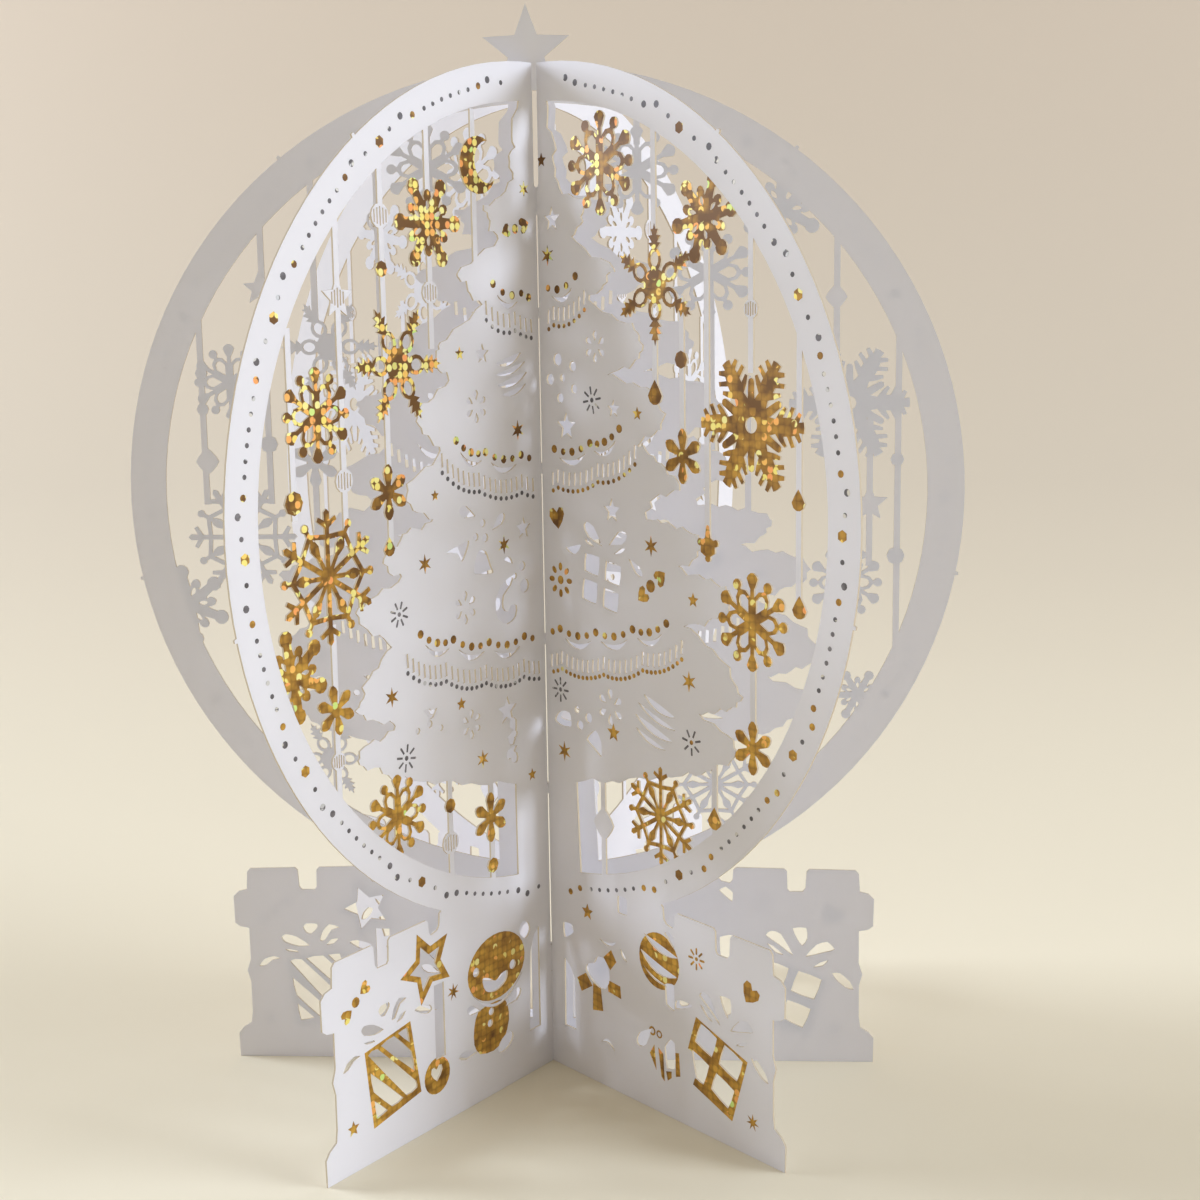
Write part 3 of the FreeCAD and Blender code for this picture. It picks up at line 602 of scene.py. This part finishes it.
LEAF_B = {
    **KIND_B,
    "strings": [(30.3, 126, 170), (36.7, 116, 142), (42.5, 102, 150), (52.3, 130, 155),
                (62.5, 93, 140), (52.7, 66, 85), (15.7, 39, 58), (43.9, 48, 66)],
    "hang": [(knob_flake, 17.2, 164, 8.6), (plump_flake, 42, 154, 7.2, 10),
             (fern_flake, 30.5, 143.8, 9.6, 90),
             (claw_flake, 52.4, 121.9, 11.2), (knob_flake, 52.6, 90.7, 8), (wheel_flake, 30.8, 54.2, 8.8),
             (flower, 36.8, 116.2, 4.6), (flower, 52.7, 70.2, 4.5),
             (bead, 36.6, 131.8, 1.45), (drop, 30.3, 126.0, 1.6), (pendant, 42.6, 102.2, 2.4),
             (drop, 62.4, 110.6, 1.3), (drop, 62.7, 94.0, 1.4), (drop, 43.9, 56.3, 1.5)],
    "bare": [(diamond, 15.7, 49.6, 2.6), (slit_bead, 52.3, 139.8, 1.5)],
}
LEAF_C = {
    **KIND_A,
    "strings": [(61, 106, 139), (49.2, 106, 157), (39.9, 138, 164), (41, 100, 128),
                (28.2, 130, 170), (39.4, 50, 66), (19, 168, 175)],
    "hang": [(knob_flake, 55.8, 128, 6.8, 30), (wheel_flake, 54.8, 100, 10, 0),
             (plump_flake, 65.4, 87.4, 7.4, 20), (fern_flake, 37.5, 134, 8.6),
             (flower, 41, 113.4, 4.6), (knob_flake, 19, 164.6, 7.6), (fern_flake, 40, 58.5, 7.4)],
    "bare": [(diamond, 60.6, 113.8, 2.1), (plain_star, 49.8, 144.4, 3), (bead, 49.2, 116.8, 1.6),
             (slit_bead, 28.2, 156, 1.9), (bead, 61, 129.6, 1.1), (bead, 61, 123.2, 1.1)],
}
LEAF_D = {
    **KIND_B, "foot": foot_b_plain,
    "strings": [(52.3, 130, 156), (58.3, 94, 121), (63.2, 78, 139), (30.4, 115, 170),
                (36.8, 104, 128), (30.6, 42, 62), (17.6, 168, 175)],
    "hang": [(plump_flake, 42.6, 156.8, 7.2, 90), (claw_flake, 54.6, 123, 10.6),
             (knob_flake, 54.2, 91, 6.8), (knob_flake, 30, 146, 7.8),
             (knob_flake, 17.6, 163.6, 7.6), (plump_flake, 56.5, 70.4, 4.8),
             (wheel_flake, 30.8, 53.6, 8.2)],
    "bare": [(diamond, 52.2, 141.5, 1.9), (plain_star, 58.3, 105.2, 3.4), (bead, 63.1, 113, 1.2),
             (bead, 63, 95.8, 1.6)],
}

# share of the way between two six-sided dots, radius, distance out of the frame's middle line,
# and kind: 0 always silver, 1 gold within a leaf's span, 2 gold only from a given angle on
RING_DOTS = [(0.105, 0.42, 0.2, 0), (0.2, 0.6, 0.9, 2), (0.27, 0.58, 0.2, 1)]
RING_DOTS += [(0.345 + 0.064 * k, 0.4, 0.0, 0) for k in range(6)]
RING_DOTS += [(0.75, 0.58, 0.1, 1), (0.825, 0.6, 1.1, 2), (0.915, 0.42, 0.5, 0)]


def ring_dots(first, step, gold_from, gold_to, more_from):
    rows = []
    middle = RING_R - RING_BAND / 2
    for k in range(-2, 5):
        for share, radius, out, kind in [(0.0, 0.98, 0.0, 3)] + RING_DOTS:
            angle = first + step * (k + share)
            if 6.5 < angle < 177.5:
                gold = kind == 3 or (kind == 1 and gold_from < angle < gold_to) or (
                    kind == 2 and angle > more_from)
                x, z = turn(0, RING_Z, middle + out - 0.4, 90.0 - angle)
                rows.append(("g" if gold else "s", disc(x, z, radius, 6 if kind == 3 else 10, 30)))
    return rows


def half_ring():
    outer = [turn(0, RING_Z, RING_R, 90 - 3.0 * k) for k in range(61)]
    inner = [turn(0, RING_Z, RING_IN, -90 + 3.0 * k) for k in range(61)]
    rows = [("+", outer + inner)]
    for deg in (53.0, -11.0):
        rows.append(("+", [turn(0, RING_Z, RING_R + out, deg + aside)
                           for out, aside in ((-1, -0.45), (0.5, -0.2), (0.5, 0.2), (-1, 0.45))]))
    return rows


def crease_cuts(notched):
    foot, top = 0.0, SPINE_TOP
    rows = []
    if notched:
        foot, top = FOOT_NOTCH[0], SPINE_TOP - TOP_NOTCH[0]
        h = FOOT_NOTCH[1] / 2
        rows.append(("-", rect(-1, -1, h, foot - h) + [
            (h * 0.7, foot - h * 0.3), (0, foot), (-1, foot)]))
        h = TOP_NOTCH[1] / 2
        rows.append(("-", [(-1, top), (0, top), (h * 0.7, top + h * 0.3), (h, top + h),
                           (h, SPINE_TOP + 1), (-1, SPINE_TOP + 1)]))
    stops = list(BRIDGES) + [top - 2 * BRIDGE_H]
    for low, high in zip(stops[:-1], stops[1:]):
        rows.append(("-", rect(-1, low + BRIDGE_H / 2, CREASE_W / 2, high - BRIDGE_H / 2)))
    return rows


def clipped(rows):
    """Keeps ornaments inside the frame's outer edge."""
    limit = RING_R - 1.5
    out = []
    for op, pts in rows:
        new = []
        for x, z in pts:
            d = math.hypot(x, z - RING_Z)
            k = limit / d if d > limit else 1.0
            new.append((x * k, RING_Z + (z - RING_Z) * k))
        out.append((op, new))
    return out


def leaf_drawing(leaf, notched):
    edge = soft([STEM_TOP] + leaf["tree"] + [BEYOND_TIP], 3, 0.42)[3:-5]
    rows = [("+", [(0, STEM_FOOT[1]), STEM_FOOT] + ruffled(edge) + [TIP])]
    for x, low, high in leaf["strings"]:
        rows.append(("+", rect(x - STRING_W / 2, low, x + STRING_W / 2, high)))
    for shape, *where in leaf["bare"]:
        rows += clipped(shape(*where))
    for shape, *where in leaf["hang"]:
        x, z, radius = where[:3]
        start = {"start": where[3]} if len(where) > 3 else {}
        rows += clipped(shape(x, z, radius, "+g", **start))
    rows += half_ring() + [("+", FOOT)]
    rows.append(("n", half_ring()[0][1]))
    rows += ring_dots(*leaf["dots"])
    rows += leaf["foot"]() + leaf["print"]()
    return rows + crease_cuts(notched)


# from drawings to meshes

def counter_clockwise(pts):
    area = sum(a[0] * b[1] - b[0] * a[1] for a, b in zip(pts, pts[1:] + pts[:1]))
    return pts if area > 0 else pts[::-1]


def solve(rows):
    """Triangles of a drawing: (points, card triangles, gold triangles, silver triangles)."""
    verts, faces = [], []
    for _, pts in rows:
        first = len(verts)
        verts += [Vector(p) for p in counter_clockwise(pts)]
        faces.append(list(range(first, len(verts))))
    co, _, tris, _, _, covers = delaunay_2d_cdt(verts, [], faces, 0, 1e-4)
    card, gold, silver = [], [], []
    for tri, over in zip(tris, covers):
        solid, foil = False, ""
        for index in sorted(set(over)):
            for step in rows[index][0]:
                if step in "+-":
                    solid = step == "+"
                    foil = "" if step == "+" else foil
                else:
                    foil = step
        if solid:
            card.append(tuple(tri))
            if foil == "g":
                gold.append(tuple(tri))
            elif foil == "s":
                silver.append(tuple(tri))
    return [(c.x, c.y) for c in co], card, gold, silver


def slab(points, tris, low, high):
    """Closed plate between two offsets: vertices (r, offset, z), cap faces, edge faces."""
    used = sorted({i for t in tris for i in t})
    place = {i: k for k, i in enumerate(used)}
    n = len(used)
    verts = [(points[i][0], low, points[i][1]) for i in used]
    verts += [(points[i][0], high, points[i][1]) for i in used]
    caps, edges, seen = [], [], {}
    for a, b, c in tris:
        a, b, c = place[a], place[b], place[c]
        caps.append((a, b, c))
        caps.append((c + n, b + n, a + n))
        for p, q in ((a, b), (b, c), (c, a)):
            seen[(p, q)] = True
    for p, q in seen:
        if (q, p) not in seen:
            edges.append((q, p, p + n, q + n))
    return verts, caps, edges


def leaf_matrix(degrees, y):
    """Leaf plane to the object's frame; the plate's second axis is the leaf's left side."""
    return Matrix.Translation((0, y, 0)) @ Matrix.Rotation(math.radians(degrees), 4, "Z")


def make_object(name, parts, materials):
    """One mesh from several plates: parts are (verts, caps, edges, matrix)."""
    verts, flat, faces, kinds = [], [], [], []
    for part_verts, caps, edges, matrix in parts:
        first = len(verts)
        verts += [matrix @ Vector(v) * MM for v in part_verts]
        flat += [(v[0], v[2]) for v in part_verts]
        for group, kind in ((caps, 0), (edges, min(1, len(materials) - 1))):
            faces += [tuple(i + first for i in f) for f in group]
            kinds += [kind] * len(group)
    mesh = bpy.data.meshes.new(name)
    mesh.from_pydata(verts, [], faces)
    for m in materials:
        mesh.materials.append(m)
    mesh.polygons.foreach_set("material_index", kinds)
    mesh.validate()
    plane = mesh.uv_layers.new(name="leaf_plane")
    plane.data.foreach_set("uv", [c for loop in mesh.loops for c in flat[loop.vertex_index]])
    mesh.update()
    obj = bpy.data.objects.new(name, mesh)
    bpy.context.scene.collection.objects.link(obj)
    return obj


def rod(low, high, y):
    """Rounded fold between two heights."""
    ring = [turn(0, 0, CARD_T / 2, 45.0 * k) for k in range(8)]
    verts = [(x, v, z) for z in (low, high) for x, v in ring]
    sides = [(k, (k + 1) % 8, (k + 1) % 8 + 8, k + 8) for k in range(8)]
    ends = [tuple(range(7, -1, -1)), tuple(range(8, 16))]
    return verts, sides + ends, [], Matrix.Translation((0, y, 0))


def fold_rods(y):
    low, high = FOOT_NOTCH[0], SPINE_TOP - TOP_NOTCH[0]
    stops = list(BRIDGES) + [high - 2 * BRIDGE_H]
    spans = [(low, BRIDGES[0] + BRIDGE_H / 2)]
    spans += [(z - BRIDGE_H / 2, z + BRIDGE_H / 2) for z in stops[1:-1]]
    spans.append((stops[-1] - BRIDGE_H / 2, high))
    return [rod(a, b, y) for a, b in spans]


# materials

def node_tree(name):
    mat = bpy.data.materials.new(name)
    mat.use_nodes = True
    nt = mat.node_tree
    nt.nodes.clear()
    out = nt.nodes.new("ShaderNodeOutputMaterial")
    bsdf = nt.nodes.new("ShaderNodeBsdfPrincipled")
    nt.links.new(bsdf.outputs["BSDF"], out.inputs["Surface"])
    return mat, nt, bsdf, out


def card_material(name, color):
    """White card: matt, a fine fibre grain, a little light passes through."""
    mat, nt, bsdf, out = node_tree(name)
    bsdf.inputs["Base Color"].default_value = (*color, 1)
    bsdf.inputs["Roughness"].default_value = 0.72
    bsdf.inputs["Specular IOR Level"].default_value = 0.35
    coords = nt.nodes.new("ShaderNodeTexCoord")
    noise = nt.nodes.new("ShaderNodeTexNoise")
    noise.inputs["Scale"].default_value = 1400.0
    noise.inputs["Detail"].default_value = 4.0
    nt.links.new(coords.outputs["Object"], noise.inputs["Vector"])
    bump = nt.nodes.new("ShaderNodeBump")
    bump.inputs["Strength"].default_value = 0.12
    bump.inputs["Distance"].default_value = 0.0001
    nt.links.new(noise.outputs["Fac"], bump.inputs["Height"])
    nt.links.new(bump.outputs["Normal"], bsdf.inputs["Normal"])
    through = nt.nodes.new("ShaderNodeBsdfTranslucent")
    through.inputs["Color"].default_value = (0.95, 0.88, 0.78, 1)
    mix = nt.nodes.new("ShaderNodeMixShader")
    mix.inputs["Fac"].default_value = 0.18
    nt.links.new(bsdf.outputs["BSDF"], mix.inputs[1])
    nt.links.new(through.outputs["BSDF"], mix.inputs[2])
    nt.links.new(mix.outputs["Shader"], out.inputs["Surface"])
    return mat


def edge_material():
    """Laser-browned cut edge."""
    mat, _, bsdf, _ = node_tree("cut_edge")
    bsdf.inputs["Base Color"].default_value = (0.62, 0.52, 0.38, 1)
    bsdf.inputs["Roughness"].default_value = 0.85
    return mat


def node(nt, kind, **sockets):
    made = nt.nodes.new(kind)
    for name, value in sockets.items():
        made.inputs[name.replace("_", " ")].default_value = value
    return made


def spread(nt, value, low, high, to_low=0.0, to_high=1.0):
    """Value moved from one span to another, held at both ends."""
    made = node(nt, "ShaderNodeMapRange", From_Min=low, From_Max=high, To_Min=to_low, To_Max=to_high)
    nt.links.new(value, made.inputs["Value"])
    return made.outputs["Result"]


def sums(nt, operation, a, b):
    made = nt.nodes.new("ShaderNodeMath")
    made.operation = operation
    for socket, value in zip(made.inputs, (a, b)):
        if isinstance(value, float):
            socket.default_value = value
        else:
            nt.links.new(value, socket)
    return made.outputs["Value"]


def blend(nt, factor, a, b):
    made = nt.nodes.new("ShaderNodeMix")
    made.data_type = "RGBA"
    nt.links.new(factor, made.inputs["Factor"])
    for name, value in (("A", a), ("B", b)):
        if isinstance(value, tuple):
            made.inputs[name].default_value = (*value, 1)
        else:
            nt.links.new(value, made.inputs[name])
    return made.outputs["Result"]


def foil_material(name, ramp, dots, heights, glint_shares, metal=0.25):
    """Holographic foil: a close grid of round cells in the leaf's plane, some of them bright with painted
    glints;
    how many grows with the height on the leaf. The brown ground under them is painted dark reflection
    over the foil's own gold or silver, darker higher up; the grid lines are the foil's own pattern."""
    mat, nt, bsdf, out = node_tree(name)
    plane = nt.nodes.new("ShaderNodeUVMap")
    plane.uv_map = "leaf_plane"
    place = nt.nodes.new("ShaderNodeSeparateXYZ")
    nt.links.new(plane.outputs["UV"], place.inputs["Vector"])
    share = spread(nt, place.outputs["Y"], *heights, *glint_shares)
    cells = nt.nodes.new("ShaderNodeTexVoronoi")
    cells.voronoi_dimensions = "2D"
    cells.inputs["Scale"].default_value = 0.8
    cells.inputs["Randomness"].default_value = 0.25
    nt.links.new(plane.outputs["UV"], cells.inputs["Vector"])
    broad = node(nt, "ShaderNodeTexNoise", Scale=0.3, Detail=2.0)
    nt.links.new(plane.outputs["UV"], broad.inputs["Vector"])
    split = nt.nodes.new("ShaderNodeSeparateColor")
    nt.links.new(cells.outputs["Color"], split.inputs["Color"])
    patches = sums(nt, "MULTIPLY", broad.outputs["Fac"], 2.0)
    total = sums(nt, "ADD", sums(nt, "ADD", split.outputs["Red"], patches), share)
    # bright cells: painted glints, more of them higher up the leaf
    painted_glints = sums(nt, "MULTIPLY", spread(nt, total, 2.0, 2.05),
               spread(nt, cells.outputs["Distance"], 0.52, 0.44))
    glint_hue = nt.nodes.new("ShaderNodeValToRGB")
    fill_ramp(glint_hue.color_ramp, dots)
    nt.links.new(split.outputs["Green"], glint_hue.inputs["Fac"])
    base = nt.nodes.new("ShaderNodeValToRGB")
    fill_ramp(base.color_ramp, ramp)
    # ground tone: patchy, and darker higher up the leaf as painted dark reflection
    tone_and_height_shade = sums(nt, "SUBTRACT", sums(nt, "ADD", broad.outputs["Fac"],
                                     sums(nt, "MULTIPLY", split.outputs["Blue"], 0.2)),
                spread(nt, place.outputs["Y"], *heights, 0.0, 0.32))
    nt.links.new(tone_and_height_shade, base.inputs["Fac"])
    lines = spread(nt, cells.outputs["Distance"], 0.35, 0.65, 0.0, 0.5)
    ground = blend(nt, lines, base.outputs["Color"], ramp[0][1])
    nt.links.new(blend(nt, painted_glints, ground, glint_hue.outputs["Color"]), bsdf.inputs["Base Color"])
    bsdf.inputs["Metallic"].default_value = metal
    bsdf.inputs["Roughness"].default_value = 0.38
    return mat


def fill_ramp(ramp, stops):
    while len(ramp.elements) > len(stops):
        ramp.elements.remove(ramp.elements[-1])
    while len(ramp.elements) < len(stops):
        ramp.elements.new(1.0)
    for element, (position, color) in zip(ramp.elements, stops):
        element.position = position
        element.color = (*color, 1)


def floor_material():
    """Warm floor that turns a little darker towards the wall: painted shade on one even cream backdrop.
    """
    mat, nt, bsdf, out = node_tree("floor_cream")
    coords = nt.nodes.new("ShaderNodeTexCoord")
    place = nt.nodes.new("ShaderNodeSeparateXYZ")
    nt.links.new(coords.outputs["Object"], place.inputs["Vector"])
    # darker further back: painted shade, not a change of material
    painted_far_shade = nt.nodes.new("ShaderNodeValToRGB")
    fill_ramp(painted_far_shade.color_ramp, [(0.0, (0.90, 0.825, 0.635)), (0.46, (0.72, 0.635, 0.495)),
                                (1.0, (0.67, 0.56, 0.435))])
    nt.links.new(spread(nt, place.outputs["Y"], 0.05, 1.45), painted_far_shade.inputs["Fac"])
    nt.links.new(painted_far_shade.outputs["Color"], bsdf.inputs["Base Color"])
    bsdf.inputs["Roughness"].default_value = 0.9
    bsdf.inputs["Specular IOR Level"].default_value = 0.1
    return mat


CARD_COLOR = (0.86, 0.852, 0.89)
EDGE = edge_material()
# gold ground: the foil's gold darkened to brown as painted dark reflection; the spark colours are painted
# glints
GOLD_WITH_DARK_REFLECTION = [(0.28, (0.16, 0.068, 0.008)), (0.5, (0.46, 0.235, 0.028)), (0.75, (0.72, 0.41, 0.055))]
PAINTED_GLINT_COLORS = [(0.0, (1.0, 0.93, 0.36)), (0.45, (1.0, 0.84, 0.20)), (0.6, (1.0, 0.56, 0.12)),
          (0.9, (1.0, 0.40, 0.12)), (0.97, (0.70, 0.90, 0.26))]
# the first gold carries more painted glints than the second, for leaves in brighter light: painted light,
# lit and shaded copies of one foil
GOLD_LIT = foil_material("gold_foil_lit", GOLD_WITH_DARK_REFLECTION, PAINTED_GLINT_COLORS, (72.0, 122.0), (0.08, 0.62))
GOLD_SHADED = foil_material("gold_foil_shaded", GOLD_WITH_DARK_REFLECTION, PAINTED_GLINT_COLORS, (80.0, 170.0), (0.04, 0.30))
# silver: the dark grey ground is painted dark reflection, the lighter cells are painted glints
SILVER = foil_material("silver_foil", [(0.3, (0.10, 0.09, 0.09)), (0.7, (0.26, 0.24, 0.25))],
                       [(0.0, (0.6, 0.6, 0.62)), (1.0, (0.75, 0.7, 0.6))], (0.0, 190.0), (0.1, 0.25))

# sheets


def build_sheet(node, leaves, y, notched, extra=()):
    """leaves are (drawing, direction, side of the leaf that carries the foil, its gold)."""
    card, foils = [], []
    half = CARD_T / 2
    short = node.split("_")[0]
    for count, (leaf, degrees, side, material) in enumerate(leaves):
        points, card_tris, gold_tris, silver_tris = solve(leaf_drawing(leaf, notched))
        matrix = leaf_matrix(degrees, y)
        card.append((*slab(points, card_tris, -half, half), matrix))
        span = (half, half + FOIL_T) if side > 0 else (-half - FOIL_T, -half)
        name = short + ("_left", "_right")[count]
        foils.append((name + "_gold", (*slab(points, gold_tris, *span), matrix), material))
        foils.append((name + "_silver", (*slab(points, silver_tris, *span), matrix), SILVER))
    sheet = make_object(node + "_card", card + list(extra),
                        [card_material(short + "_card", CARD_COLOR), EDGE])
    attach(sheet, "root")
    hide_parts(node)
    for name, part, material in foils:
        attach(make_object(name + "_foil", [part], [material]), "root")
    return sheet


def topper():
    """Star and neck above the middle sheet."""
    rows = [("+", star(*STAR_AT, STAR_R, 5, 0.42)),
            ("+", rect(NECK[0], SPINE_TOP - 2, NECK[1], SPINE_TOP)),
            ("-", [(-15, 0)] + [turn(0, RING_Z, RING_R, 90 - 3.0 * k) for k in range(-4, 5)] + [(15, 0)])]
    points, tris, _, _ = solve(rows)
    return (*slab(points, tris, -CARD_T / 2, CARD_T / 2), Matrix.Identity(4))


SEAT = CARD_T + GLUE_GAP
build_sheet("front_sheet", [(LEAF_A, FRONT_LEAVES[0], 1, GOLD_LIT),
                            (LEAF_B, FRONT_LEAVES[1], -1, GOLD_SHADED)],
            -SEAT, True, fold_rods(-SEAT))
build_sheet("middle_sheet", [(LEAF_C, MIDDLE_LEAVES[0], -1, GOLD_SHADED),
                             (LEAF_D, MIDDLE_LEAVES[1], 1, GOLD_SHADED)],
            0.0, False, [topper()])
build_sheet("rear_sheet", [(LEAF_B, REAR_LEAVES[0], -1, GOLD_SHADED),
                           (LEAF_A, REAR_LEAVES[1], 1, GOLD_LIT)],
            SEAT, True, fold_rods(SEAT))

# floor, light, camera


FLOOR_DROP = 0.00002


def backdrop():
    """Pale floor that curves up into a wall behind."""
    depth_front, depth_back, rise, radius, half = -3.0, 1.5, 2.5, 1.1, 4.0
    profile = [(depth_front, 0.0), (0.0, 0.0), (depth_back - radius, 0.0)]
    for k in range(1, 13):
        a = math.radians(90.0 * k / 12)
        profile.append((depth_back - radius + radius * math.sin(a), radius - radius * math.cos(a)))
    profile.append((depth_back, rise))
    verts = [(x, y, z - FLOOR_DROP) for y, z in profile for x in (-half, half)]
    faces = [(2 * k, 2 * k + 1, 2 * k + 3, 2 * k + 2) for k in range(len(profile) - 1)]
    mesh = bpy.data.meshes.new("backdrop")
    mesh.from_pydata(verts, [], faces)
    mesh.materials.append(floor_material())
    for p in mesh.polygons:
        p.use_smooth = True
    obj = bpy.data.objects.new("backdrop", mesh)
    bpy.context.scene.collection.objects.link(obj)


def softbox(name, place, aim, size, power, color=(1, 1, 1)):
    light = bpy.data.lights.new(name, "AREA")
    light.shape = "RECTANGLE"
    light.size, light.size_y = size
    light.energy = power
    light.color = color
    obj = bpy.data.objects.new(name, light)
    obj.location = place
    obj.rotation_mode = "QUATERNION"
    obj.rotation_quaternion = (Vector(aim) - Vector(place)).to_track_quat("-Z", "Y")
    bpy.context.scene.collection.objects.link(obj)


def world_light(color, strength):
    world = bpy.data.worlds.new("studio")
    world.use_nodes = True
    back = world.node_tree.nodes["Background"]
    back.inputs["Color"].default_value = (*color, 1)
    back.inputs["Strength"].default_value = strength
    bpy.context.scene.world = world


CAM_AT = (0.0285, -0.3145, 0.1409)
CAM_YAW, CAM_PITCH, CAM_ROLL = (math.radians(a) for a in (-3.353, 9.528, 0.847))
CAM_FOCAL = 1765.3 / 1200.0   # in picture widths
SENSOR = 36.0


def camera():
    fwd = Vector((math.sin(CAM_YAW) * math.cos(CAM_PITCH), math.cos(CAM_YAW) * math.cos(CAM_PITCH),
                  -math.sin(CAM_PITCH)))
    right = Vector((math.cos(CAM_YAW), -math.sin(CAM_YAW), 0))
    down = fwd.cross(right)
    across = right * math.cos(CAM_ROLL) + down * math.sin(CAM_ROLL)
    below = -right * math.sin(CAM_ROLL) + down * math.cos(CAM_ROLL)
    turn_matrix = Matrix((across, -below, -fwd)).transposed()
    data = bpy.data.cameras.new("photo_camera")
    data.sensor_width = SENSOR
    data.lens = CAM_FOCAL * SENSOR
    data.clip_start = 0.01
    obj = bpy.data.objects.new("photo_camera", data)
    obj.matrix_world = Matrix.Translation(CAM_AT) @ turn_matrix.to_4x4()
    bpy.context.scene.collection.objects.link(obj)
    bpy.context.scene.camera = obj


backdrop()
camera()
world_light((1.0, 0.93, 0.84), 0.36)
softbox("key_right", (2.1, -0.4, 0.9), (0, 0, 0.1), (1.0, 1.0), 36.5, (0.77, 0.85, 1.0))
softbox("rim_right", (2.1, 0.45, 0.9), (0, 0, 0.1), (1.0, 1.0), 8.0, (0.77, 0.85, 1.0))
softbox("key_left", (-2.1, 0.45, 0.9), (0, 0, 0.1), (1.0, 1.0), 55.0, (0.76, 0.84, 1.0))
bpy.context.scene.view_settings.view_transform = "Standard"
